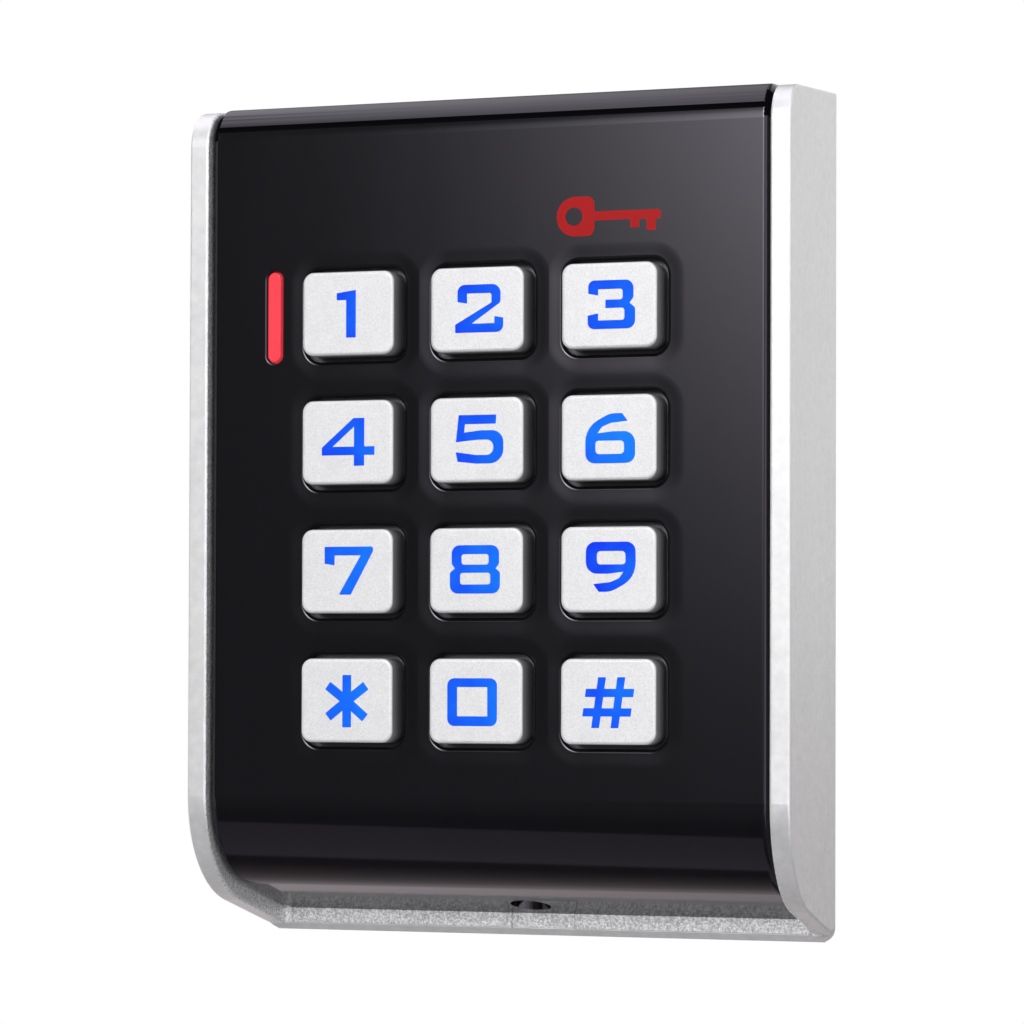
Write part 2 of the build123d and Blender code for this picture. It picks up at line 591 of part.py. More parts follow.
# ---- Keypad mat, on the board, with a hole for each plunger and each backlight LED
with BuildPart() as keypad_mat:
    with BuildSketch(facing(BOARD_FRONT)):
        with Locations((0, KEYPAD_RISE)):
            RectangleRounded(MAT_WIDTH, MAT_HEIGHT, COIL_CORNER_R - COIL_GAP)
        with Locations(*KEY_CENTRES):
            Circle(MAT_HOLE_R, mode=Mode.SUBTRACT)
        with Locations(*BACKLIGHTS):
            Rectangle(LED_LENGTH + 2 * LED_WINDOW_GAP, LED_WIDTH + 2 * LED_WINDOW_GAP, mode=Mode.SUBTRACT)
    extrude(amount=MAT_THICKNESS)
save(keypad_mat, "keypad_mat")

with BuildPart() as backlight_leds:
    with BuildSketch(facing(BOARD_FRONT)):
        with Locations(*BACKLIGHTS):
            Rectangle(LED_LENGTH, LED_WIDTH)
    extrude(amount=LED_HEIGHT)
save(backlight_leds, "backlight_leds")

# ---- Antenna coil, wound around the mat
with BuildPart() as antenna_coil:
    with BuildSketch(facing(BOARD_FRONT)):
        with Locations((0, KEYPAD_RISE)):
            RectangleRounded(
                MAT_WIDTH + 2 * (COIL_GAP + COIL_SECTION),
                MAT_HEIGHT + 2 * (COIL_GAP + COIL_SECTION),
                COIL_CORNER_R + COIL_SECTION,
            )
            RectangleRounded(
                MAT_WIDTH + 2 * COIL_GAP,
                MAT_HEIGHT + 2 * COIL_GAP,
                COIL_CORNER_R,
                mode=Mode.SUBTRACT,
            )
    extrude(amount=COIL_HEIGHT)
save(antenna_coil, "antenna_coil")

# ---- Circuit board
with BuildPart() as circuit_board:
    with BuildSketch(facing(BOARD_BACK)):
        with Locations((0, BOARD_RISE)):
            RectangleRounded(BOARD_WIDTH, BOARD_HEIGHT, BOARD_CORNER_R)
        with Locations(*BOARD_SCREWS):
            Circle(SMALL_SCREW_R + SCREW_CLEARANCE, mode=Mode.SUBTRACT)
    extrude(amount=BOARD_THICKNESS)
save(circuit_board, "circuit_board")

# ---- Status light: two LEDs and the bar that carries their light to the face
with BuildPart() as status_leds:
    with BuildSketch(facing(BOARD_FRONT)):
        with Locations((BAR_X, TOP_ROW - STATUS_LED_PITCH / 2), (BAR_X, TOP_ROW + STATUS_LED_PITCH / 2)):
            Rectangle(LED_WIDTH, LED_LENGTH)
    extrude(amount=LED_HEIGHT)
save(status_leds, "status_leds")

with BuildPart() as light_bar:
    bar_back = BOARD_FRONT - LED_HEIGHT - BAR_LED_GAP
    with BuildSketch(facing(bar_back)):
        with Locations((BAR_X, TOP_ROW)):
            SlotOverall(BAR_LENGTH, BAR_WIDTH, rotation=90)
    extrude(amount=bar_back - FACE + BAR_PROUD)
    fillet(light_bar.faces().sort_by(Axis.Y)[0].edges(), BAR_PROUD)
    with BuildSketch(facing(SKIN_BACK + BAR_FIT + BAR_FLANGE)):
        with Locations((BAR_X, TOP_ROW)):
            SlotOverall(BAR_LENGTH + 2 * BAR_FLANGE_OVERLAP, BAR_WIDTH + 2 * BAR_FLANGE_OVERLAP, rotation=90)
    extrude(amount=BAR_FLANGE)
save(light_bar, "light_bar")

# ---- Parts on the back of the board
with BuildPart() as controller_chip:
    with BuildSketch(facing(BOARD_BACK + CHIP_STANDOFF + CHIP_HEIGHT)):
        with Locations((CHIP_X, CHIP_LEVEL)):
            Rectangle(CHIP_SIZE, CHIP_SIZE)
    extrude(amount=CHIP_HEIGHT)
    chamfer(controller_chip.faces().sort_by(Axis.Y)[-1].edges(), CHIP_STANDOFF)
    with BuildSketch(facing(BOARD_BACK + LEAD_LEVEL)):
        with Locations((CHIP_X, CHIP_LEVEL)):
            with GridLocations(LEAD_PITCH, 0, LEAD_COUNT, 1):
                Rectangle(LEAD_WIDTH, CHIP_SIZE + 2 * LEAD_REACH)
            with GridLocations(0, LEAD_PITCH, 1, LEAD_COUNT):
                Rectangle(CHIP_SIZE + 2 * LEAD_REACH, LEAD_WIDTH)
    extrude(amount=LEAD_LEVEL)
save(controller_chip, "controller_chip")

with BuildPart() as reader_chip:
    with BuildSketch(facing(BOARD_BACK + CHIP_STANDOFF + CHIP_HEIGHT)):
        with Locations((-CHIP_X, CHIP_LEVEL)):
            Rectangle(CHIP_SIZE, READER_CHIP_WIDTH)
    extrude(amount=CHIP_HEIGHT)
    chamfer(reader_chip.faces().sort_by(Axis.Y)[-1].edges(), CHIP_STANDOFF)
    with BuildSketch(facing(BOARD_BACK + LEAD_LEVEL)):
        with Locations((-CHIP_X, CHIP_LEVEL)):
            with GridLocations(LEAD_PITCH, 0, LEAD_COUNT, 1):
                Rectangle(LEAD_WIDTH, READER_CHIP_WIDTH + 2 * LEAD_REACH)
    extrude(amount=LEAD_LEVEL)
save(reader_chip, "reader_chip")

with BuildPart() as crystal:
    with BuildSketch(facing(BOARD_BACK + CRYSTAL_HEIGHT)):
        with Locations((0, CHIP_LEVEL)):
            SlotOverall(CRYSTAL_LENGTH, CRYSTAL_WIDTH)
    extrude(amount=CRYSTAL_HEIGHT)
    fillet(crystal.faces().sort_by(Axis.Y)[-1].edges(), CRYSTAL_EDGE_R)
save(crystal, "crystal")

with BuildPart() as voltage_regulator:
    with BuildSketch(facing(BOARD_BACK + REGULATOR_HEIGHT)):
        with Locations((REGULATOR_X, REGULATOR_RISE)):
            Rectangle(REGULATOR_WIDTH, REGULATOR_BODY)
    extrude(amount=REGULATOR_HEIGHT)
    with BuildSketch(facing(BOARD_BACK + REGULATOR_LEAD)):
        with Locations((REGULATOR_X, REGULATOR_RISE)):
            Rectangle(REGULATOR_LEAD_WIDTH, REGULATOR_WIDTH)
    extrude(amount=REGULATOR_LEAD)
save(voltage_regulator, "voltage_regulator")

with BuildPart() as power_capacitor:
    with BuildSketch(facing(BOARD_BACK + CAPACITOR_HEIGHT)):
        with Locations((-REGULATOR_X, REGULATOR_RISE)):
            Circle(CAPACITOR_R)
    extrude(amount=CAPACITOR_HEIGHT)
    fillet(power_capacitor.faces().sort_by(Axis.Y)[-1].edges(), CAPACITOR_EDGE_R)
save(power_capacitor, "power_capacitor")

with BuildPart() as buzzer:
    with BuildSketch(facing(BOARD_BACK + BUZZER_HEIGHT)):
        with Locations((-TAMPER_X, TAMPER_LEVEL)):
            Circle(BUZZER_R)
    extrude(amount=BUZZER_HEIGHT)
    fillet(buzzer.faces().sort_by(Axis.Y)[-1].edges(), BUZZER_EDGE_R)
    with BuildSketch(facing(BOARD_BACK + BUZZER_HEIGHT)):
        with Locations((-TAMPER_X, TAMPER_LEVEL)):
            Circle(BUZZER_HOLE_R)
    extrude(amount=BUZZER_HOLE_DEPTH, mode=Mode.SUBTRACT)
save(buzzer, "buzzer")

with BuildPart() as wire_header:
    with BuildSketch(facing(BOARD_BACK + HEADER_HEIGHT)):
        with Locations((0, CABLE_RISE)):
            Rectangle(HEADER_LENGTH, HEADER_WIDTH)
    extrude(amount=HEADER_HEIGHT)
    with BuildSketch(facing(BOARD_BACK + HEADER_HEIGHT)):
        with Locations((0, CABLE_RISE)):
            Rectangle(HEADER_LENGTH - 2 * HEADER_WALL, HEADER_WIDTH - 2 * HEADER_WALL)
    extrude(amount=HEADER_HEIGHT - HEADER_WALL, mode=Mode.SUBTRACT)
    with BuildSketch(facing(BOARD_BACK + HEADER_HEIGHT - HEADER_WALL)):
        with Locations((0, CABLE_RISE)):
            with GridLocations(HEADER_PITCH, 0, HEADER_PINS, 1):
                Rectangle(LEAD_WIDTH, LEAD_WIDTH)
    extrude(amount=HEADER_HEIGHT - 2 * HEADER_WALL)
save(wire_header, "wire_header")

with BuildPart() as tamper_switch:
    with BuildSketch(facing(BOARD_BACK + TAMPER_BODY_HEIGHT)):
        with Locations((TAMPER_X, TAMPER_LEVEL)):
            Rectangle(TAMPER_BODY, TAMPER_BODY)
    extrude(amount=TAMPER_BODY_HEIGHT)
    chamfer(tamper_switch.edges().filter_by(Axis.Y), TAMPER_BODY_CHAMFER)
save(tamper_switch, "tamper_switch")

with BuildPart() as tamper_plunger:
    foot_front = BOARD_BACK + TAMPER_BODY_HEIGHT + TAMPER_FIT
    with BuildSketch(facing(foot_front + TAMPER_FOOT)):
        with Locations((TAMPER_X, TAMPER_LEVEL)):
            Circle(TAMPER_FOOT_R)
    extrude(amount=TAMPER_FOOT)
    with BuildSketch(facing(0)):
        with Locations((TAMPER_X, TAMPER_LEVEL)):
            Circle(TAMPER_PIN_R)
    extrude(amount=-foot_front - TAMPER_FOOT)
    fillet(tamper_plunger.faces().sort_by(Axis.Y)[-1].edges(), TAMPER_PIN_EDGE_R)
save(tamper_plunger, "tamper_plunger")

# ---- Rear cover: a shallow tray over the back of the board
with BuildPart() as rear_cover:
    with BuildSketch(facing(COVER_BACK)):
        with Locations((0, BOARD_RISE)):
            RectangleRounded(COVER_WIDTH, COVER_HEIGHT, BOARD_CORNER_R)
    extrude(amount=COVER_WALL + COVER_SPACE)
    fillet(rear_cover.faces().sort_by(Axis.Y)[-1].edges(), COVER_EDGE_R)
    with BuildSketch(facing(COVER_FRONT)):
        with Locations((0, BOARD_RISE)):
            RectangleRounded(COVER_WIDTH - 2 * COVER_WALL, COVER_HEIGHT - 2 * COVER_WALL, COVER_INNER_R)
        with Locations(*BOARD_SCREWS):
            Circle(COVER_COLUMN_R, mode=Mode.SUBTRACT)
    extrude(amount=COVER_SPACE, mode=Mode.SUBTRACT)
    with BuildSketch(facing(COVER_BACK)):
        with Locations(*BOARD_SCREWS):
            Circle(SMALL_SCREW_HEAD_R + SCREW_CLEARANCE)
    extrude(amount=COVER_WALL + COVER_SPACE - COVER_SEAT, mode=Mode.SUBTRACT)
    with BuildSketch(facing(COVER_BACK)):
        with Locations(*BOARD_SCREWS):
            Circle(SMALL_SCREW_R + SCREW_CLEARANCE)
        with Locations((0, CABLE_RISE)):
            RectangleRounded(PLUG_OPENING_WIDTH, PLUG_OPENING_HEIGHT, COVER_WALL)
        with Locations((TAMPER_X, TAMPER_LEVEL)):
            Circle(TAMPER_PIN_R + TAMPER_FIT)
    extrude(amount=COVER_WALL + COVER_SPACE, mode=Mode.SUBTRACT)
save(rear_cover, "rear_cover")

# ---- Back plate, screwed to the wall
with BuildPart() as back_plate:
    with BuildSketch(facing(0)):
        with Locations((0, PLATE_CENTRE)):
            RectangleRounded(PLATE_WIDTH, PLATE_HEIGHT, PLATE_CORNER_R)
    extrude(amount=PLATE_THICKNESS)
    with BuildSketch(facing(PLATE_FRONT)):
        with Locations((0, PLATE_CENTRE)):
            RectangleRounded(PLATE_WIDTH, PLATE_HEIGHT, PLATE_CORNER_R)
            RectangleRounded(
                PLATE_WIDTH - 2 * PLATE_RIM,
                PLATE_HEIGHT - 2 * PLATE_RIM,
                PLATE_CORNER_R - PLATE_RIM,
                mode=Mode.SUBTRACT,
            )
    extrude(amount=PLATE_RIM_DEPTH)
    # hooks that hold the upper rail
    with BuildSketch(Plane.YZ):
        Polygon(
            (PLATE_FRONT, HOOK_ARM_TOP),
            (HOOK_BACK, HOOK_ARM_TOP),
            (HOOK_BACK, HOOK_ARM_TOP + HOOK_RISE),
            (HOOK_BACK - HOOK_THICKNESS, HOOK_ARM_TOP + HOOK_RISE),
            (HOOK_BACK - HOOK_THICKNESS, HOOK_ARM_TOP - HOOK_THICKNESS),
            (PLATE_FRONT, HOOK_ARM_TOP - HOOK_THICKNESS),
            align=None,
        )
    extrude(amount=HOOK_X + HOOK_WIDTH / 2, both=True)
    with BuildSketch(facing(PLATE_FRONT - PLATE_RIM_DEPTH)):
        with Locations((0, HOOK_ARM_TOP)):
            Rectangle(2 * HOOK_X - HOOK_WIDTH, 2 * HOOK_RISE + HOOK_THICKNESS)
    extrude(amount=DEPTH, mode=Mode.SUBTRACT)
    # lug for the closing screw, and the tab that fills the notch in the lower rail
    with BuildSketch(Plane.XY.offset(LUG_UNDER)):
        with Locations((0, PLATE_FRONT)):
            Rectangle(LUG_WIDTH, PLATE_FRONT - CLOSING_Y + LUG_EDGE, align=(Align.CENTER, Align.MAX))
    extrude(amount=LUG_THICKNESS)
    with BuildSketch(Plane.YZ):
        Polygon(
            (0, TAB_UNDER),
            (0, PLATE_UNDER + PLATE_RIM),
            (RIM_FRONT, PLATE_UNDER + PLATE_RIM),
            (RIM_FRONT, TAB_UNDER),
            align=None,
        )
    extrude(amount=NOTCH_WIDTH / 2 - TAB_FIT, both=True)
    with BuildSketch(Plane.XY.offset(LUG_UNDER)):
        with Locations((0, CLOSING_Y)):
            Circle(CLOSING_SHANK_R + THREAD_FIT)
    extrude(amount=LUG_THICKNESS, mode=Mode.SUBTRACT)
    # cable entry, wall screws and the tamper plunger's hole
    with BuildSketch(facing(0)):
        with Locations((0, CABLE_RISE)):
            Circle(CABLE_HOLE_R)
        with Locations((TAMPER_X, TAMPER_LEVEL)):
            Circle(TAMPER_HOLE_R)
        with GridLocations(WALL_SCREW_SPACING, 0, 2, 1):
            SlotOverall(SLOT_LENGTH, 2 * SCREW_HOLE_R)
        with GridLocations(0, WALL_SCREW_SPACING, 1, 2):
            Circle(SCREW_HOLE_R)
    extrude(amount=PLATE_THICKNESS, mode=Mode.SUBTRACT)
save(back_plate, "back_plate")

# ---- Screws
with BuildPart() as board_screws:
    seat = BOARD_BACK + COVER_SEAT
    with BuildSketch(facing(seat)):
        with Locations(*BOARD_SCREWS):
            Circle(SMALL_SCREW_R)
    extrude(amount=seat - BOARD_FRONT + SCREW_BITE)
    with BuildSketch(facing(seat + SMALL_SCREW_HEAD)):
        with Locations(*BOARD_SCREWS):
            Circle(SMALL_SCREW_HEAD_R)
    extrude(amount=SMALL_SCREW_HEAD)
    with BuildSketch(facing(seat + SMALL_SCREW_HEAD)):
        with Locations(*BOARD_SCREWS):
            Rectangle(SMALL_DRIVE_LENGTH, SMALL_DRIVE_WIDTH)
            Rectangle(SMALL_DRIVE_WIDTH, SMALL_DRIVE_LENGTH)
    extrude(amount=SMALL_DRIVE_DEPTH, mode=Mode.SUBTRACT)
save(board_screws, "board_screws")

with BuildPart() as frame_screws:
    with BuildSketch(facing(EAR_BACK)):
        with Locations(*FRAME_SCREWS):
            Circle(SMALL_SCREW_R)
    extrude(amount=EAR_BACK - WALLS_BACK + FRAME_SCREW_BITE)
    with BuildSketch(facing(EAR_BACK + SMALL_SCREW_HEAD)):
        with Locations(*FRAME_SCREWS):
            Circle(SMALL_SCREW_HEAD_R)
    extrude(amount=SMALL_SCREW_HEAD)
    with BuildSketch(facing(EAR_BACK + SMALL_SCREW_HEAD)):
        with Locations(*FRAME_SCREWS):
            Rectangle(SMALL_DRIVE_LENGTH, SMALL_DRIVE_WIDTH)
            Rectangle(SMALL_DRIVE_WIDTH, SMALL_DRIVE_LENGTH)
    extrude(amount=SMALL_DRIVE_DEPTH, mode=Mode.SUBTRACT)
save(frame_screws, "frame_screws")

with BuildPart() as closing_screw:
    head_top = BOTTOM + CLOSING_BOSS_TOP - CLOSING_SEAT
    with BuildSketch(Plane.XY.offset(head_top)):
        with Locations((0, CLOSING_Y)):
            Circle(CLOSING_SHANK_R)
    extrude(amount=LUG_UNDER + LUG_THICKNESS + CLOSING_THREAD_END - head_top)
    with BuildSketch(Plane.XY.offset(head_top)):
        with Locations((0, CLOSING_Y)):
            Circle(CLOSING_HEAD_R)
    extrude(amount=-CLOSING_HEAD)
    fillet(closing_screw.faces().sort_by(Axis.Z)[0].edges(), CLOSING_HEAD_EDGE_R)
    with BuildSketch(Plane.XY.offset(head_top - CLOSING_HEAD)):
        with Locations((0, CLOSING_Y)):
            RegularPolygon(DRIVE_R, 6)
    extrude(amount=DRIVE_DEPTH, mode=Mode.SUBTRACT)
save(closing_screw, "closing_screw")
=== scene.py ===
import logging
import math
from dataclasses import dataclass, field
from enum import Enum
from typing import ClassVar, Iterable, Union

import bmesh
import bpy
from mathutils import Matrix, Vector


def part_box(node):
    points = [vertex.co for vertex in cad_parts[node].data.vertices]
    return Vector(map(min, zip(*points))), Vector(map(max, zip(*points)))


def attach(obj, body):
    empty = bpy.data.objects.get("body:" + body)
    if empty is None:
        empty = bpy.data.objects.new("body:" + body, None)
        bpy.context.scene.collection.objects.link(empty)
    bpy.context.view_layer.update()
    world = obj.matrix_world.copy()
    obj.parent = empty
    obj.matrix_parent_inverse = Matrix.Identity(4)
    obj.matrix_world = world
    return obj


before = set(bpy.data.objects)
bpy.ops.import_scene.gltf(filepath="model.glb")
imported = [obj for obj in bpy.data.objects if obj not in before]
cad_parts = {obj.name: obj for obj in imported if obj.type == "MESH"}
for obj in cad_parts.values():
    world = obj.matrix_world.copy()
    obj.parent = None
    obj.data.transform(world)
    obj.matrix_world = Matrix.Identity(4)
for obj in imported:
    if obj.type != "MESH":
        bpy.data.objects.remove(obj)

LOG = logging.getLogger("keypad_access_reader")
MM = 0.001
MIDDLE = 0.5  # the mean of a noise, and a share that is neither dark nor pale
READER = "reader"

Colour = tuple[float, float, float]
Point = tuple[float, float]
Place = tuple[float, float, float]
Corner = tuple[float, float, float]  # of an outline: across, up and the radius
Rings = tuple[list["Outline"], list["Outline"]]
Value = Union[float, tuple]
Feed = Union[float, tuple, "Wire"]

WHITE: Colour = (1.0, 1.0, 1.0)
BLACK: Colour = (0.0, 0.0, 0.0)


# ---- Materials: a small language for shader nodes ----


class Wire:
    """A number inside a material, on which Python arithmetic adds Math nodes."""

    def __init__(self, shader: "Shader", socket: bpy.types.NodeSocket) -> None:
        """Wraps one output socket of a shader."""
        self.shader = shader
        self.socket = socket

    def _math(self, operation: str, first: Feed, second: Feed = 0.0) -> "Wire":
        """Adds one Math node and returns its result."""
        return self.shader.node("ShaderNodeMath", {"operation": operation}, {0: first, 1: second})

    def __add__(self, other: Feed) -> "Wire":
        """The sum."""
        return self._math("ADD", self, other)

    __radd__ = __add__

    def __sub__(self, other: Feed) -> "Wire":
        """The difference."""
        return self._math("SUBTRACT", self, other)

    def __rsub__(self, other: Feed) -> "Wire":
        """The difference, the other way round."""
        return self._math("SUBTRACT", other, self)

    def __mul__(self, other: Feed) -> "Wire":
        """The product."""
        return self._math("MULTIPLY", self, other)

    __rmul__ = __mul__

    def __truediv__(self, other: Feed) -> "Wire":
        """The quotient."""
        return self._math("DIVIDE", self, other)

    def __abs__(self) -> "Wire":
        """The size without its sign."""
        return self._math("ABSOLUTE", self)

    def least(self, other: Feed) -> "Wire":
        """The smaller of the two."""
        return self._math("MINIMUM", self, other)

    def most(self, other: Feed) -> "Wire":
        """The larger of the two."""
        return self._math("MAXIMUM", self, other)

    def power(self, exponent: float) -> "Wire":
        """This value to a power."""
        return self._math("POWER", self, exponent)

    def nearest(self) -> "Wire":
        """The nearest whole number."""
        return self._math("ROUND", self)

    def sine(self) -> "Wire":
        """The sine of an angle in radians."""
        return self._math("SINE", self)

    def arcsine(self) -> "Wire":
        """The angle in degrees that has this sine."""
        return self._math("ARCSINE", self) * math.degrees(1.0)

    def angle(self, other: "Wire") -> "Wire":
        """The angle in degrees whose tangent is this over the other."""
        return self._math("ARCTAN2", self, other) * math.degrees(1.0)

    def length(self, other: "Wire") -> "Wire":
        """The length of a line that goes this far one way and the other far across it."""
        return (self * self + other * other).power(0.5)

    def swing(self, amount: float) -> "Wire":
        """A noise's distance from its middle of a half, times an amount."""
        return (self - MIDDLE) * amount

    def step(self, low: float, high: float) -> "Wire":
        """A smooth step from 0 where the value is at its low end to 1 at its high end."""
        inputs = {"Value": self, "From Min": low, "From Max": high}
        return self.shader.node("ShaderNodeMapRange", {"interpolation_type": "SMOOTHSTEP"}, inputs)


class Shader:
    """The node tree of one material or world."""

    def __init__(self, tree: bpy.types.NodeTree) -> None:
        """Empties a node tree to build a new one in it."""
        self.tree = tree
        tree.nodes.clear()

    def node(
        self, kind: str, settings: dict, inputs: dict, output: Union[int, str] = 0
    ) -> Wire:
        """Adds one node.

        Args:
            kind: the node's type.
            settings: its properties, which are set before its inputs.
            inputs: values or wires for its sockets, by name or number.
            output: the output that is returned.

        Returns:
            The chosen output of the new node.
        """
        node = self.tree.nodes.new(kind)
        for name, value in settings.items():
            if name == "stops":
                self._set_stops(node.color_ramp, value)
            else:
                setattr(node, name, value)
        for name, value in inputs.items():
            if isinstance(value, Wire):
                self.tree.links.new(value.socket, node.inputs[name])
            else:
                node.inputs[name].default_value = self._as_default(node.inputs[name], value)
        return Wire(self, node.outputs[output])

    @staticmethod
    def _set_stops(ramp: bpy.types.ColorRamp, stops: Iterable[tuple[float, Colour]]) -> None:
        """Gives a new colour ramp its stops.

        Args:
            ramp: the ramp, which still has the two stops that it was made with.
            stops: the place from 0 to 1 and the colour of each stop, in order.
        """
        for number, (place, colour) in enumerate(stops):
            stop = ramp.elements[number] if number < 2 else ramp.elements.new(place)
            stop.position = place
            stop.color = (*colour, 1.0)

    @staticmethod
    def _as_default(socket: bpy.types.NodeSocket, value: Value) -> Value:
        """A value for a socket, with an alpha where a colour needs one."""
        return (*value, 1.0) if socket.type == "RGBA" and len(value) == 3 else value

    def parts(self, vector: Wire) -> tuple[Wire, Wire, Wire]:
        """The three parts of a vector."""
        split = self.node("ShaderNodeSeparateXYZ", {}, {"Vector": vector}).socket.node
        return tuple(Wire(self, socket) for socket in split.outputs)

    def mix(self, share: Feed, first: Feed, second: Feed) -> Wire:
        """Mixes two colours; share 0 is the first and 1 the second."""
        inputs = {0: share, 6: first, 7: second}
        return self.node("ShaderNodeMix", {"data_type": "RGBA"}, inputs, 2)


class Surface(Shader):
    """A material with one Principled shader, which reads the object's own coordinates."""

    def __init__(self, name: str) -> None:
        """Starts the material.

        Args:
            name: the material's name.
        """
        self.material = bpy.data.materials.new(name)
        self.material.use_nodes = True
        super().__init__(self.material.node_tree)
        self.output = self.tree.nodes.new("ShaderNodeOutputMaterial")
        self.principled = self.tree.nodes.new("ShaderNodeBsdfPrincipled")
        self.tree.links.new(self.principled.outputs[0], self.output.inputs["Surface"])
        self.here = self.place()

    def fix(self, **values: Value) -> None:
        """Sets what is the same all over, by socket name with _ for a space."""
        for key, value in values.items():
            socket = self.principled.inputs[key.replace("_", " ")]
            socket.default_value = self._as_default(socket, value)

    def feed(self, **wires: Wire) -> None:
        """Links what varies over the surface, by socket name with _ for a space."""
        for key, wire in wires.items():
            self.tree.links.new(wire.socket, self.principled.inputs[key.replace("_", " ")])

    def place(self, turn: Place = (0.0, 0.0, 0.0), stretch: Place = (1.0, 1.0, 1.0)) -> Wire:
        """The object's own coordinates, turned and stretched by a Mapping node."""
        inputs = {"Vector": self.node("ShaderNodeTexCoord", {}, {}, "Object")}
        return self.node("ShaderNodeMapping", {}, {**inputs, "Rotation": turn, "Scale": stretch})

    def axes(self) -> tuple[Wire, Wire, Wire]:
        """How far a point lies across, in depth and up."""
        return self.parts(self.here)

    def noise(
        self, size: float, detail: float = 2.0, rough: float = 0.5, place: Union[Wire, None] = None
    ) -> Wire:
        """Soft noise.

        Args:
            size: the size of its features in metres.
            detail: how many finer layers it has.
            rough: how strong the finer layers are.
            place: the coordinates that it reads, if they aren't the object's own.

        Returns:
            A value around a half.
        """
        inputs = {"Vector": place or self.here, "Scale": 1.0 / size}
        inputs |= {"Detail": detail, "Roughness": rough}
        return self.node("ShaderNodeTexNoise", {}, inputs)

    def cells(self, size: float, output: str = "Distance") -> Wire:
        """Voronoi cells of a size in metres."""
        inputs = {"Vector": self.here, "Scale": 1.0 / size}
        return self.node("ShaderNodeTexVoronoi", {}, inputs, output)

    def flakes(self, size: float) -> Wire:
        """A random value from 0 to 1 for each cell of a size in metres."""
        return self.node("ShaderNodeSeparateColor", {}, {"Color": self.cells(size, "Color")})

    def tones(self, share: Feed, colour: Colour, ends: Point) -> Wire:
        """A colour times the first of the ends at a share of 0 and the second at 1."""
        first, second = (tuple(min(1.0, part * end) for part in colour) for end in ends)
        return self.mix(share, first, second)

    def bump(
        self, height: Wire, depth: float, strength: float = 1.0, under: Union[Wire, None] = None
    ) -> Wire:
        """A bumped normal.

        Args:
            height: the height, from 0 to 1.
            depth: what a height of 1 is in metres.
            strength: how much of the bump is used.
            under: another bumped normal that this one is laid over.

        Returns:
            The normal.
        """
        inputs = {"Height": height, "Distance": depth, "Strength": strength}
        if under is not None:
            inputs["Normal"] = under
        return self.node("ShaderNodeBump", {}, inputs)


# ---- Finishes ----


@dataclass(frozen=True)
class Finish:
    """A procedural finish.

    Attributes:
        name: the material's name.
    """

    name: str

    def build(self) -> bpy.types.Material:
        """Makes the material.

        Returns:
            The finished material.
        """
        surface = Surface(self.name)
        self.cover(surface)
        return surface.material

    def cover(self, surface: Surface) -> None:
        """Sets what is the same all over a surface, and feeds it what varies."""
        raise NotImplementedError


@dataclass(frozen=True)
class SilverPaint(Finish):
    """Metallic paint, smooth on the cheeks' fronts and over a spark-eroded grain elsewhere.

    Attributes:
        inside: half the width between the cheeks, where the grain is coarse.
        outside: half the width across the outer sides at the front, where it is fine.
        front: depth of the front.
        lean: how much the sides draw in for each metre towards the wall.
        rim: height of the lower rim's smooth bevel.
        margin: how softly one grain passes into the next.
        colour, ends: the mean colour, and what it is multiplied by in its darkest and palest spots.
        grain, grain_depth: size and depth of the grain.
        flake, blotch, cloud: sizes of the metal flakes and of the small and wide uneven patches.
        fine, faint: strength of the grain on the sides and on the cheeks' fronts.
        sparkle: how much more light and dark the coarse grain shows.
        flake_light, blotch_light, cloud_light: how much light and dark each of those shows.
        roughness, metallic: their mean values.
        uneven: how much the roughness varies with the flakes and with the small patches.
    """

    inside: float
    outside: float
    front: float
    lean: float
    rim: float
    margin: float = 0.1 * MM
    colour: Colour = (0.75, 0.743, 0.772)
    ends: Point = (0.62, 1.38)
    grain: float = 0.34 * MM
    grain_depth: float = 0.10 * MM
    flake: float = 0.16 * MM
    blotch: float = 1.3 * MM
    cloud: float = 9 * MM
    fine: float = 0.34
    faint: float = 0.05
    sparkle: float = 2.4
    flake_light: float = 0.22
    blotch_light: float = 0.40
    cloud_light: float = 0.12
    roughness: float = 0.36
    metallic: float = 0.45
    uneven: float = 0.10

    def cover(self, surface: Surface) -> None:
        """Feeds a surface the grain, the flakes and the uneven colour.

        Args:
            surface: the surface that is covered.
        """
        surface.fix(Metallic=self.metallic)
        across, depth, up = surface.axes()
        inner = abs(across).step(self.inside + self.margin, self.inside - self.margin)
        coarse = inner * up.step(self.rim, self.rim + self.margin)
        side = abs(across) + (depth - self.front) * self.lean
        fine = side.step(self.outside - 2 * self.margin, self.outside - self.margin)
        rough = (coarse + fine * self.fine + self.faint).least(1.0)
        grain = surface.noise(self.grain, detail=3.0, rough=0.7)
        flake = surface.flakes(self.flake)
        blotch = surface.noise(self.blotch, detail=3.0, rough=0.6)
        clouds = surface.noise(self.cloud)
        speckle = (grain - MIDDLE) * (coarse * self.sparkle + 1.0) * rough
        patches = blotch.swing(self.blotch_light) + clouds.swing(self.cloud_light)
        light = speckle + flake.swing(self.flake_light) * rough + patches + MIDDLE
        surface.feed(Base_Color=surface.tones(light, self.colour, self.ends))
        matt = flake.swing(self.uneven) + blotch.swing(self.uneven)
        surface.feed(Roughness=matt + self.roughness)
        surface.feed(Normal=surface.bump(grain * rough, self.grain_depth, strength=0.8))


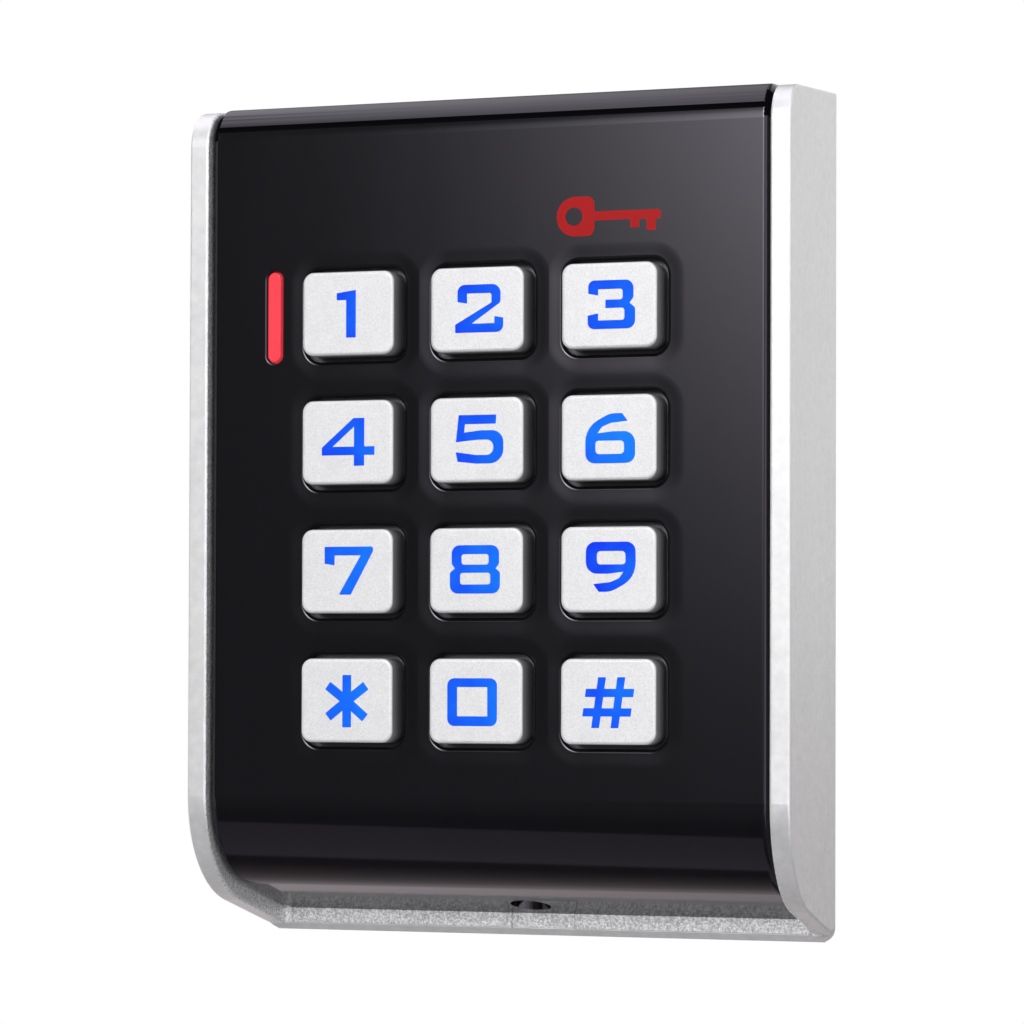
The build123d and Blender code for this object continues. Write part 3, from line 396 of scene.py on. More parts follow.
@dataclass(frozen=True)
class GlossPanel(Finish):
    """Black piano-gloss plastic that dips towards each key window, with a matt black painted shade
    in its top groove.

    Attributes:
        pitch: spacing of the windows across and up.
        top_row: height of the top row of windows.
        window: size of a window across and up.
        corner: the window's corner radius.
        groove: depth and height of the middle of the round top edge, along which the groove runs.
        groove_floor: distance from there at which the painted shade in the groove begins.
        groove_front: how far in front of there that painted shade begins.
        groove_fade, groove_edge: how softly it begins along the face and in the groove.
        dish_width, dish_depth: how far the dip reaches around a window, and its depth there.
        colour, ends: the plastic's colour, and what it is multiplied by where clean and dusty.
        sheen: the tint of what it mirrors.
        roughness: the mean roughness.
        ripple, ripple_depth: size and depth of the waves in the moulded face.
        wipe: size of the marks that wiping leaves.
        wipe_turn, wipe_stretch: how those marks are turned and stretched.
        wipe_light, wipe_rough: how much they lighten the face and roughen it.
        dust, dust_patch: spacing of the specks of dust, and size of the patches that they form.
        speck_ends, patch_ends: where a speck and a patch begin and where they are full.
        dust_light, dust_rough: how much dust lightens the face and roughens it.
        haze: how much of the soiled colour the clean face has.
    """

    pitch: Point
    top_row: float
    window: Point
    corner: float
    groove: Point
    groove_floor: float = 4.97 * MM
    groove_front: float = 3.0 * MM
    groove_fade: float = 0.3 * MM
    groove_edge: float = 0.02 * MM
    dish_width: float = 2.4 * MM
    dish_depth: float = 0.035 * MM
    colour: Colour = (0.0046, 0.0043, 0.0056)
    ends: Point = (1.0, 3.0)
    sheen: Colour = (0.93, 0.885, 1.0)
    roughness: float = 0.07
    ripple: float = 4 * MM
    ripple_depth: float = 0.002 * MM
    wipe: float = 5 * MM
    wipe_turn: Place = (0.0, 0.5, 0.0)
    wipe_stretch: Place = (1.0, 1.0, 0.2)
    wipe_light: float = 0.2
    wipe_rough: float = 0.05
    dust: float = 0.9 * MM
    dust_patch: float = 2 * MM
    speck_ends: Point = (0.09, 0.03)
    patch_ends: Point = (0.55, 0.7)
    dust_light: float = 0.5
    dust_rough: float = 0.15
    haze: float = 0.1

    def _from_window(self, across: Wire, up: Wire) -> Wire:
        """Distance in metres from a point of the face to the edge of the nearest window.

        Args:
            across: how far the point lies to the right.
            up: how high it lies.

        Returns:
            The distance, which is negative inside the window.
        """
        column = (across / self.pitch[0]).nearest().least(1.0).most(-1.0)
        row = ((up - self.top_row) / self.pitch[1]).nearest().least(0.0).most(-3.0)
        side = abs(across - column * self.pitch[0]) - (self.window[0] / 2 - self.corner)
        end = abs(up - self.top_row - row * self.pitch[1]) - (self.window[1] / 2 - self.corner)
        return side.most(0.0).length(end.most(0.0)) - self.corner

    def _painted_groove_shade(self, depth: Wire, up: Wire) -> Wire:
        """Finds where the groove along the round top edge is painted black as shade.

        Args:
            depth: how deep a point lies.
            up: how high it lies.

        Returns:
            1 where that painted shade lies and 0 elsewhere.
        """
        out = depth - self.groove[0]
        rise = up - self.groove[1]
        front = (0.0 - out).step(self.groove_front, self.groove_front + self.groove_fade)
        near = rise.step(0.0, self.groove_fade) * front
        walls = out.length(rise).step(self.groove_floor + self.groove_edge, self.groove_floor)
        return near * walls

    def cover(self, surface: Surface) -> None:
        """Feeds a surface the dips, wipe marks, dust and a matt black painted shade in the groove.

        Args:
            surface: the surface that is covered.
        """
        surface.fix(Specular_Tint=self.sheen)
        across, depth, up = surface.axes()
        dish = self._from_window(across, up).step(0.0, self.dish_width)
        smeared = surface.place(turn=self.wipe_turn, stretch=self.wipe_stretch)
        wipes = surface.noise(self.wipe, detail=4.0, rough=0.6, place=smeared)
        specks = surface.cells(self.dust).step(*self.speck_ends)
        dust = specks * surface.noise(self.dust_patch).step(*self.patch_ends)
        soiled = dust * self.dust_light + wipes.swing(self.wipe_light) + self.haze
        surface.feed(Base_Color=surface.tones(soiled, self.colour, self.ends))
        matt = wipes.swing(self.wipe_rough) + dust * self.dust_rough
        surface.feed(Roughness=matt + self.roughness)
        dished = surface.bump(dish, self.dish_depth)
        ripple = surface.noise(self.ripple, detail=1.0)
        surface.feed(Normal=surface.bump(ripple, self.ripple_depth, strength=0.5, under=dished))
        # A matt black diffuse shader mixed in along the groove: painted shade that darkens it.
        rough = surface.node("ShaderNodeBsdfDiffuse", {}, {"Color": self.colour, "Roughness": 1.0})
        polished = Wire(surface, surface.principled.outputs[0])
        inputs = {0: self._painted_groove_shade(depth, up), 1: polished, 2: rough}
        both = surface.node("ShaderNodeMixShader", {}, inputs)
        surface.tree.links.new(both.socket, surface.output.inputs["Surface"])


@dataclass(frozen=True)
class KeyPaint(Finish):
    """Sprayed silver-white on a key's face, thinning out over its grey moulded sides, darkened
    below as painted shade.

    Attributes:
        face: depth of the key's face.
        shoulder, edge: depths behind the face between which the spray thins out.
        ragged: how raggedly it ends.
        foot: depth behind the face at which the painted shade on the sides is darkest.
        paint, ends: the paint's colour, and what it is multiplied by in dark and pale spots.
        thin, bare: the colours of the thin spray and of the moulding at the foot, darkened there as
            painted shade.
        drop, drop_depth: size and height of the spray's drops.
        speck, cloud: sizes of the metal specks and of the uneven patches.
        drop_light, speck_light, cloud_light: how much light and dark each of those shows.
        metallic, roughness: their mean values on the face.
        drop_rough: how much the roughness varies with the drops.
        side_gloss: how much smoother the bare sides are.
    """

    face: float
    shoulder: float = 0.10 * MM
    edge: float = 0.28 * MM
    ragged: float = 0.08 * MM
    foot: float = 2.8 * MM
    paint: Colour = (0.745, 0.745, 0.755)
    ends: Point = (0.84, 1.16)
    thin: Colour = (0.34, 0.335, 0.35)
    bare_in_shade: Colour = (0.11, 0.108, 0.116)
    drop: float = 0.26 * MM
    drop_depth: float = 0.03 * MM
    speck: float = 0.15 * MM
    cloud: float = 2.5 * MM
    drop_light: float = 1.5
    speck_light: float = 0.30
    cloud_light: float = 0.35
    metallic: float = 0.30
    roughness: float = 0.45
    drop_rough: float = 0.25
    side_gloss: float = 0.08

    def cover(self, surface: Surface) -> None:
        """Feeds a surface the spray, where it thins out, and a painted shade down the sides.

        Args:
            surface: the surface that is covered.
        """
        _, depth, _ = surface.axes()
        spray = surface.noise(self.drop, detail=4.0, rough=0.75)
        behind = depth - self.face + spray.swing(self.ragged)
        fade = behind.step(self.shoulder, self.edge)
        specks = surface.flakes(self.speck).swing(self.speck_light)
        clouds = surface.noise(self.cloud).swing(self.cloud_light)
        light = spray.swing(self.drop_light) + specks + clouds + MIDDLE
        painted = surface.tones(light, self.paint, self.ends)
        # The sides go from the thin spray to the darkest grey at the foot: painted shade where the
        # key stands out of the panel.
        side = surface.mix(behind.step(self.edge, self.foot), self.thin, self.bare_in_shade)
        surface.feed(Base_Color=surface.mix(fade, painted, side))
        surface.feed(Metallic=self.metallic - fade * self.metallic)
        matt = spray.swing(self.drop_rough) + self.roughness
        surface.feed(Roughness=matt - fade * self.side_gloss)
        surface.feed(Normal=surface.bump(spray, self.drop_depth, strength=0.7))


@dataclass(frozen=True)
class LitLegend(Finish):
    """A blue legend lit from behind, brighter where its LEDs sit.

    Attributes:
        centre: the middle of the key across and up.
        level: how bright its LEDs are, from 0 to 1.
        reach: half the width of a legend.
        deep, bright: the blue away from the light and near it.
        glow: strength of the light that it gives.
        unlit: how much darker than its light the plastic itself is.
        sideways, dimming: how the light grows to the right, and falls off up and down.
        spread, mottle: sizes of the brighter areas and of the plastic's fine clouding.
        spread_light, mottle_light: how much light and dark each of those shows.
        mottle_depth: depth of the clouding.
        base: the light that every legend has.
        roughness, mirror: the plastic's roughness, and how much it mirrors.
    """

    centre: Point
    level: float
    reach: float = 3.6 * MM
    deep: Colour = (0.002, 0.034, 0.84)
    bright: Colour = (0.006, 0.22, 0.91)
    glow: float = 1.0
    unlit: float = 0.9
    sideways: float = 0.16
    dimming: float = 0.14
    spread: float = 3.0 * MM
    mottle: float = 0.5 * MM
    spread_light: float = 0.5
    mottle_light: float = 0.12
    mottle_depth: float = 0.004 * MM
    base: float = 0.04
    roughness: float = 0.5
    mirror: float = 0.08

    def cover(self, surface: Surface) -> None:
        """Feeds a surface the uneven light from behind.

        Args:
            surface: the surface that is covered.
        """
        surface.fix(Roughness=self.roughness, Specular_IOR_Level=self.mirror)
        surface.fix(Emission_Strength=self.glow)
        across, _, up = surface.axes()
        side = (across - self.centre[0]) / self.reach
        height = (up - self.centre[1]) / self.reach
        spread = surface.noise(self.spread, detail=1.0)
        mottle = surface.noise(self.mottle)
        fall = side * self.sideways - height * height * self.dimming
        patches = spread.swing(self.spread_light) + mottle.swing(self.mottle_light)
        share = fall + patches + (self.level + self.base)
        colour = surface.mix(share.least(1.0).most(0.0), self.deep, self.bright)
        surface.feed(Emission_Color=colour)
        surface.feed(Base_Color=surface.mix(self.unlit, colour, BLACK))
        surface.feed(Normal=surface.bump(mottle, self.mottle_depth, strength=0.5))


@dataclass(frozen=True)
class LitBar(Finish):
    """A red light pipe, deeper in colour along its rim.

    Attributes:
        centre: the bar's centre across and up.
        size: the bar's width and length.
        colour, rim, unlit: the lit colour, that at the edge and that of the plastic itself.
        glow: strength of the light that it gives.
        own: how much of its base colour is that of the plastic itself.
        rim_starts, rim_share: where across the bar the rim begins, and how much of it shows.
        spot, spot_light: size of the brighter areas, and how much they vary.
        grain, grain_depth: size and depth of the fine grain.
        roughness, mirror: the plastic's roughness, and how much it mirrors.
    """

    centre: Point
    size: Point
    colour: Colour = (0.90, 0.06, 0.085)
    rim: Colour = (0.50, 0.022, 0.035)
    unlit: Colour = (0.10, 0.0, 0.0)
    glow: float = 0.80
    own: float = 0.75
    rim_starts: float = 0.78
    rim_share: float = 0.7
    spot: float = 3.0 * MM
    spot_light: float = 0.2
    grain: float = 0.4 * MM
    grain_depth: float = 0.003 * MM
    roughness: float = 0.22
    mirror: float = 0.25

    def cover(self, surface: Surface) -> None:
        """Feeds a surface the light and the deeper rim.

        Args:
            surface: the surface that is covered.
        """
        surface.fix(Roughness=self.roughness, Specular_IOR_Level=self.mirror)
        surface.fix(Emission_Strength=self.glow)
        across, _, up = surface.axes()
        straight = (self.size[1] - self.size[0]) / 2
        along = (abs(up - self.centre[1]) - straight).most(0.0)
        reach = abs(across - self.centre[0]).length(along) / (self.size[0] / 2)
        spots = surface.noise(self.spot, detail=1.0)
        share = reach.step(self.rim_starts, 1.0) * self.rim_share + spots.swing(self.spot_light)
        colour = surface.mix(share, self.colour, self.rim)
        surface.feed(Emission_Color=colour)
        surface.feed(Base_Color=surface.mix(self.own, colour, self.unlit))
        grain = surface.noise(self.grain)
        surface.feed(Normal=surface.bump(grain, self.grain_depth, strength=0.4))


@dataclass(frozen=True)
class PrintedInk(Finish):
    """Screen-printed ink with a slightly uneven film.

    Attributes:
        colour, ends: the ink's colour, and what it is multiplied by where thin and full.
        film, film_depth: size and depth of the unevenness.
        roughness, uneven: the mean roughness, and how much it varies with the film.
        mirror: how much the ink mirrors.
    """

    colour: Colour
    ends: Point = (0.75, 1.0)
    film: float = 0.3 * MM
    film_depth: float = 0.003 * MM
    roughness: float = 0.32
    uneven: float = 0.2
    mirror: float = 0.12

    def cover(self, surface: Surface) -> None:
        """Feeds a surface the uneven film.

        Args:
            surface: the surface that is covered.
        """
        surface.fix(Specular_IOR_Level=self.mirror)
        film = surface.noise(self.film, detail=3.0)
        surface.feed(Base_Color=surface.tones(film, self.colour, self.ends))
        surface.feed(Roughness=film.swing(self.uneven) + self.roughness)
        surface.feed(Normal=surface.bump(film, self.film_depth, strength=0.5))


@dataclass(frozen=True)
class Moulding(Finish):
    """A moulded plastic or rubber with its tool's grain.

    Attributes:
        colour, roughness: their mean values.
        grain, depth: size and depth of the grain.
        see_through: how much light it lets through, as milky silicone does.
        ends: what the colour is multiplied by in its darkest and palest spots.
        light: how much light and dark the grain and the uneven patches show.
        grain_rough, cloud_rough: how much the roughness varies with the grain and the patches.
        cloud: size of the uneven patches.
        pit, pits: how much larger than the grain its pits are, and their share of its depth.
        scatter: how far light travels in it.
    """

    colour: Colour
    roughness: float = 0.5
    grain: float = 0.4 * MM
    depth: float = 0.015 * MM
    see_through: float = 0.0
    ends: Point = (0.78, 1.2)
    light: float = 0.5
    grain_rough: float = 0.18
    cloud_rough: float = 0.1
    cloud: float = 8 * MM
    pit: float = 1.5
    pits: float = 0.4
    scatter: float = 1.5 * MM

    def cover(self, surface: Surface) -> None:
        """Feeds a surface the grain and the uneven colour.

        Args:
            surface: the surface that is covered.
        """
        surface.fix(Subsurface_Weight=self.see_through, Subsurface_Scale=self.scatter)
        grain = surface.noise(self.grain, detail=3.0, rough=0.6)
        pits = surface.cells(self.grain * self.pit)
        clouds = surface.noise(self.cloud, detail=3.0)
        light = grain.swing(self.light) + clouds.swing(self.light) + MIDDLE
        surface.feed(Base_Color=surface.tones(light, self.colour, self.ends))
        matt = grain.swing(self.grain_rough) + clouds.swing(self.cloud_rough)
        surface.feed(Roughness=matt + self.roughness)
        relief = grain * (1.0 - self.pits) + pits * self.pits
        surface.feed(Normal=surface.bump(relief, self.depth, strength=0.7))


@dataclass(frozen=True)
class PlatedSteel(Finish):
    """Zinc-plated or tinned metal with turning marks and a little tarnish.

    Attributes:
        colour, roughness: their mean values.
        ends: what the colour is multiplied by where it is bright and where it is tarnished.
        mark, stretch: size of the turning marks, and how they are stretched along each axis.
        mark_depth: depth of the marks.
        tarnish, tarnish_ends: size of the tarnished patches, and where they begin and are full.
        uneven: how much the roughness varies with the marks and with the patches.
    """

    colour: Colour = (0.62, 0.62, 0.60)
    roughness: float = 0.3
    ends: Point = (1.0, 0.65)
    mark: float = 0.12 * MM
    stretch: Place = (1.0, 0.15, 1.0)
    mark_depth: float = 0.004 * MM
    tarnish: float = 1.6 * MM
    tarnish_ends: Point = (0.35, 0.75)
    uneven: float = 0.2

    def cover(self, surface: Surface) -> None:
        """Feeds a surface the marks and the tarnish.

        Args:
            surface: the surface that is covered.
        """
        surface.fix(Metallic=1.0)
        turned = surface.place(stretch=self.stretch)
        lines = surface.noise(self.mark, detail=3.0, rough=0.7, place=turned)
        tarnish = surface.noise(self.tarnish, detail=4.0, rough=0.6)
        dulled = tarnish.step(*self.tarnish_ends)
        surface.feed(Base_Color=surface.tones(dulled, self.colour, self.ends))
        matt = lines.swing(self.uneven) + tarnish.swing(self.uneven)
        surface.feed(Roughness=matt + self.roughness)
        surface.feed(Normal=surface.bump(lines, self.mark_depth, strength=0.6))


@dataclass(frozen=True)
class WoundWire(Finish):
    """Enamelled copper wire, seen as the ridges of its turns.

    Attributes:
        wire, ridge: the wire's diameter, and how high its turns stand.
        dark, pale: the enamel's two colours.
        drift: size of the uneven patches.
        roughness, uneven: the mean roughness, and how much it varies.
        metallic: how metallic the copper looks.
        enamel, enamel_rough: how much of the clear enamel shows, and its roughness.
    """

    wire: float = 0.12 * MM
    ridge: float = 0.03 * MM
    dark: Colour = (0.42, 0.13, 0.05)
    pale: Colour = (0.78, 0.33, 0.15)
    drift: float = 5 * MM
    roughness: float = 0.28
    uneven: float = 0.15
    metallic: float = 0.9
    enamel: float = 0.6
    enamel_rough: float = 0.15

    def cover(self, surface: Surface) -> None:
        """Feeds a surface the turns of wire.

        Args:
            surface: the surface that is covered.
        """
        surface.fix(Metallic=self.metallic)
        surface.fix(Coat_Weight=self.enamel, Coat_Roughness=self.enamel_rough)
        across, depth, up = surface.axes()
        turns = (abs(across) + abs(up) + depth * 2.0) * (2 * math.pi / self.wire)
        drift = surface.noise(self.drift)
        surface.feed(Base_Color=surface.mix(drift, self.dark, self.pale))
        surface.feed(Roughness=drift.swing(self.uneven) + self.roughness)
        ridges = turns.sine() * MIDDLE + MIDDLE
        surface.feed(Normal=surface.bump(ridges, self.ridge, strength=0.8))


@dataclass(frozen=True)
class SolderMask(Finish):
    """A green circuit board with copper tracks under its mask and a glass weave at its edges.

    Attributes:
        track, track_height: spacing of the tracks, and how far they stand up.
        track_ends: half a track's width, as shares of the spacing, outside its edge and inside it.
        patch, patch_ends: size of the patches in which tracks run one way, and how they meet.
        weave: size of the glass weave.
        mask, copper, glass: the colours on bare board, over a track and of the weave.
        copper_share, glass_share: how much of the last two shows.
        roughness, uneven: the mean roughness, and how much it varies with the weave.
        varnish, varnish_rough: how much of the clear film shows, and its roughness.
    """

    track: float = 1.27 * MM
    track_height: float = 0.035 * MM
    patch: float = 7 * MM
    weave: float = 0.2 * MM
    mask: Colour = (0.006, 0.085, 0.028)
    copper: Colour = (0.02, 0.20, 0.055)
    glass: Colour = (0.02, 0.12, 0.05)
    track_ends: Point = (0.16, 0.12)
    patch_ends: Point = (0.45, 0.55)
    copper_share: float = 0.85
    glass_share: float = 0.2
    roughness: float = 0.38
    uneven: float = 0.15
    varnish: float = 0.5
    varnish_rough: float = 0.12

    def _lines(self, place: Wire) -> Wire:
        """1 on the tracks that are spaced along one axis, and 0 between them."""
        number = place / self.track
        return abs(number - number.nearest()).step(*self.track_ends)

    def cover(self, surface: Surface) -> None:
        """Feeds a surface the tracks and the weave.

        Args:
            surface: the surface that is covered.
        """
        surface.fix(Coat_Weight=self.varnish, Coat_Roughness=self.varnish_rough)
        across, _, up = surface.axes()
        chosen = surface.flakes(self.patch).step(*self.patch_ends)
        tracks = self._lines(across) * chosen + self._lines(up) * (1.0 - chosen)
        weave = surface.noise(self.weave)
        green = surface.mix(tracks * self.copper_share, self.mask, self.copper)
        surface.feed(Base_Color=surface.mix(weave * self.glass_share, green, self.glass))
        surface.feed(Roughness=weave.swing(self.uneven) + self.roughness)
        surface.feed(Normal=surface.bump(tracks, self.track_height, strength=0.8))


@dataclass(frozen=True)
class LeadedPackage(Finish):
    """A black moulded chip whose leads, outside its body, are bright tinned metal.

    Attributes:
        centre: the middle of the body across and up.
        half: half the body's size across and up.
        margin: width of the change from body to lead.
        dark, pale, tin: the body's two colours and that of the leads.
        grain, grain_depth: size and depth of the body's grain.
        roughness, uneven: the body's mean roughness, and how much it varies with the grain.
        lead_gloss: how much smoother the leads are.
    """

    centre: Point
    half: Point
    margin: float = 0.02 * MM
    dark: Colour = (0.012, 0.012, 0.013)
    pale: Colour = (0.03, 0.03, 0.032)
    tin: Colour = (0.72, 0.72, 0.70)
    grain: float = 0.15 * MM
    grain_depth: float = 0.006 * MM
    roughness: float = 0.55
    uneven: float = 0.2
    lead_gloss: float = 0.25

    def cover(self, surface: Surface) -> None:
        """Feeds a surface the body and its leads.

        Args:
            surface: the surface that is covered.
        """
        across, _, up = surface.axes()
        side = (abs(across - self.centre[0]) - self.half[0]).step(0.0, self.margin)
        end = (abs(up - self.centre[1]) - self.half[1]).step(0.0, self.margin)
        lead = side.most(end)
        grain = surface.noise(self.grain, detail=3.0)
        body = surface.mix(grain, self.dark, self.pale)
        surface.feed(Base_Color=surface.mix(lead, body, self.tin))
        surface.feed(Metallic=lead)
        body_rough = grain.swing(self.uneven) + self.roughness
        surface.feed(Roughness=body_rough - lead * self.lead_gloss)
        surface.feed(Normal=surface.bump(grain, self.grain_depth, strength=0.6))


# ---- Shapes ----


class Outline:
    """A closed outline in millimetres whose corners are rounded by arcs."""

    ARC_STEPS: ClassVar[int] = 6
    STRAIGHT: ClassVar[float] = math.radians(89.0)
    LONGEST_SHARE: ClassVar[float] = 0.499

    def __init__(self, corners: Iterable[Corner]) -> None:
        """Keeps the corners, each as its place across and up and its radius."""
        self.corners = list(corners)

    def points(self) -> list[Vector]:
        """Works out the outline.

        Returns:
            Its points, with each rounded corner as an arc.
        """
        found = []
        for number, (across, up, radius) in enumerate(self.corners):
            here = Vector((across, up))
            before = Vector(self.corners[number - 1][:2])
            after = Vector(self.corners[(number + 1) % len(self.corners)][:2])
            found.extend(self._corner(before, here, after, radius))
        return found

    def _corner(self, before: Vector, here: Vector, after: Vector, radius: float) -> list[Vector]:
        """Works out one corner.

        Args:
            before: the corner before it.
            here: the corner.
            after: the corner after it.
            radius: its radius, which is made smaller where the sides are too short for it.

        Returns:
            The sharp corner, or the points of an arc that is tangent to both of its sides.
        """
        back = (before - here).normalized()
        ahead = (after - here).normalized()
        half_angle = math.acos(max(-1.0, min(1.0, back.dot(ahead)))) / 2
        if radius <= 0.0 or half_angle > self.STRAIGHT:
            return [here]
        longest = self.LONGEST_SHARE * min((before - here).length, (after - here).length)
        reach = min(radius / math.tan(half_angle), longest)
        radius = reach * math.tan(half_angle)
        centre = here + (back + ahead).normalized() * (radius / math.sin(half_angle))
        start = here + back * reach - centre
        end = here + ahead * reach - centre
        turn = start.angle_signed(end)
        steps = [start.copy() for _ in range(self.ARC_STEPS + 1)]
        for number, arm in enumerate(steps):
            arm.rotate(Matrix.Rotation(-turn * number / self.ARC_STEPS, 2))
        return [centre + arm for arm in steps]


@dataclass
class FlatMark:
    """A thin solid on an upright face, made from outlines with holes in them.

    Attributes:
        name: the piece's name.
        outer: the outlines of its parts.
        holes: the outlines that are cut out of them.
        centre: where its own origin lies across and up, in metres.
        face: depth of the face that carries it.
        proud: how far it stands in front of that face.
        sunk: how far it reaches behind that face.
    """

    name: str
    outer: list[Outline]
    holes: list[Outline]
    centre: Point
    face: float
    proud: float = 0.03 * MM
    sunk: float = 0.15 * MM

    def build(self) -> bpy.types.Object:
        """Makes the solid.

        Returns:
            The finished piece, in its place.
        """
        shape = bmesh.new()
        edges = []
        for outline in self.outer + self.holes:
            ring = [self._vertex(shape, point) for point in outline.points()]
            pairs = zip(ring, ring[1:] + ring[:1])
            edges.extend(shape.edges.new(pair) for pair in pairs)
        bmesh.ops.triangle_fill(shape, edges=edges, use_beauty=True, use_dissolve=False)
        grown = bmesh.ops.extrude_face_region(shape, geom=shape.faces[:])
        moved = [item for item in grown["geom"] if isinstance(item, bmesh.types.BMVert)]
        bmesh.ops.translate(shape, verts=moved, vec=(0.0, -(self.proud + self.sunk), 0.0))
        bmesh.ops.recalc_face_normals(shape, faces=shape.faces[:])
        return Workshop.finish_mesh(shape, self.name)

    def _vertex(self, shape: bmesh.types.BMesh, point: Vector) -> bmesh.types.BMVert:
        """Adds a vertex at the back of the mark.

        Args:
            shape: the mesh that gets the vertex.
            point: its place on the mark across and up, in millimetres.

        Returns:
            The vertex.
        """
        across = self.centre[0] + point.x * MM
        up = self.centre[1] + point.y * MM
        return shape.verts.new((across, self.face + self.sunk, up))


class Workshop:
    """Helpers that every sub-assembly uses."""

    @staticmethod
    def finish_mesh(shape: bmesh.types.BMesh, name: str) -> bpy.types.Object:
        """Turns a bmesh into an object at the origin.

        Args:
            shape: the bmesh, which is freed.
            name: the object's name.

        Returns:
            The new object.
        """
        mesh = bpy.data.meshes.new(name)
        shape.to_mesh(mesh)
        shape.free()
        piece = bpy.data.objects.new(name, mesh)
        bpy.context.scene.collection.objects.link(piece)
        return piece

    @staticmethod
    def middle_and_size(name: str) -> tuple[Point, Point]:
        """A CAD node's middle, and its size, across and up."""
        low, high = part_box(name)
        return ((low.x + high.x) / 2, (low.z + high.z) / 2), (high.x - low.x, high.z - low.z)

    @staticmethod
    def coat(piece: bpy.types.Object, material: bpy.types.Material) -> None:
        """Gives a piece or a CAD node one material."""
        piece.data.materials.clear()
        piece.data.materials.append(material)

    @staticmethod
    def dress(material: bpy.types.Material, *names: str) -> None:
        """Gives CAD nodes a material, through their material slots.

        Args:
            material: the material.
            names: the nodes' names.
        """
        for name in names:
            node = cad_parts[name]
            if not node.material_slots:
                node.data.materials.append(material)
            for slot in node.material_slots:
                slot.material = material
            LOG.info("dressed %s in %s", name, material.name)


# ---- Key legends ----


class Legends:
    """Outlines of the figures and signs on the keys, in millimetres from a key's centre."""

    STROKE: ClassVar[float] = 1.24
    STAR_ARMS: ClassVar[list[Point]] = [
        (90, 3.45), (37, 3.4), (-40, 3.4), (-90, 3.45), (-142, 3.4), (143, 3.4),
    ]
    STAR_SHIFT: ClassVar[Point] = (0.08, -0.08)
    NINE_SHIFT: ClassVar[Point] = (0.58, 0.2)
    SHARP: ClassVar[float] = 0.1

    @staticmethod
    def _six(shift: Point = (0.0, 0.0), turned: bool = False) -> Rings:
        """The figure 6, or turned by half a turn, the figure 9.

        Args:
            shift: how far it is moved across and up.
            turned: whether it is turned into the 9.

        Returns:
            The outer outlines and the holes.
        """
        body = [
            (1.85, 3.08, 0.05), (0.2, 3.1, 3.2), (-3.15, 1.3, 3.6), (-3.15, -3.36, 1.25),
            (3.62, -3.36, 1.25), (3.62, 0.74, 1.5), (0.6, 0.76, 2.0), (-1.5, 0.52, 0.0),
            (-0.9, 1.35, 0.8), (0.3, 1.85, 2.0), (2.62, 2.08, 0.05),
        ]
        eye = [(-1.77, -0.44, 0.4), (2.12, -0.44, 0.5), (2.12, -2.17, 0.5), (-1.77, -2.17, 0.5)]
        sign = -1.0 if turned else 1.0
        outer, hole = (
            [(sign * x + shift[0], sign * z + shift[1], radius) for x, z, radius in ring]
            for ring in (body, eye)
        )
        return [Outline(outer)], [Outline(hole)]

    @classmethod
    def _star(cls) -> Rings:
        """Six arms from one centre.

        Returns:
            The outer outlines and no holes.
        """
        half = cls.STROKE / 2
        corners = []
        for number, (angle, length) in enumerate(cls.STAR_ARMS):
            along = Vector((math.cos(math.radians(angle)), math.sin(math.radians(angle))))
            across = Vector((-along.y, along.x)) * half
            following = cls.STAR_ARMS[(number + 1) % len(cls.STAR_ARMS)][0]
            gap = math.radians((angle - following) % 360)
            tips = [(along * length + across, cls.SHARP), (along * length - across, cls.SHARP)]
            inner = along * (half / math.tan(gap / 2)) - across
            for point, radius in (*tips, (inner, 0.0)):
                corners.append((point.x + cls.STAR_SHIFT[0], point.y + cls.STAR_SHIFT[1], radius))
        return [Outline(corners)], []

    @classmethod
    def _hash(cls) -> Rings:
        """Two upright and two level bars, leaning to the right.

        Returns:
            The outer outlines and the holes.
        """
        half = 0.53
        post, rail = 1.31, 1.25
        post_end, rail_end = 3.27, 3.28
        lean, shift, radius = 0.14, (0.06, -0.12), 0.06
        quarter = [
            (post - half, rail + half), (post - half, post_end), (post + half, post_end),
            (post + half, rail + half), (rail_end, rail + half), (rail_end, rail - half),
            (post + half, rail - half),
        ]
        right = quarter + [(x, -z) for x, z in reversed(quarter)]
        ring = right + [(-x, z) for x, z in reversed(right)]
        eye = [(post - half, rail - half), (post - half, half - rail)]
        eye += [(-x, z) for x, z in reversed(eye)]
        outer, hole = (
            [(x + lean * z + shift[0], z + shift[1], radius) for x, z in loop]
            for loop in (ring, eye)
        )
        return [Outline(outer)], [Outline(hole)]

    @classmethod
    def of(cls, key: str) -> Rings:
        """The outlines of one key's legend.

        Args:
            key: the key's name.

        Returns:
            The outer outlines and the holes.
        """
        if key == "6":
            return cls._six()
        if key == "9":
            return cls._six(cls.NINE_SHIFT, turned=True)
        if key == "star":
            return cls._star()
        if key == "hash":
            return cls._hash()
        outer, holes = FIGURES[key]
        return [Outline(outer)], [Outline(hole) for hole in holes]


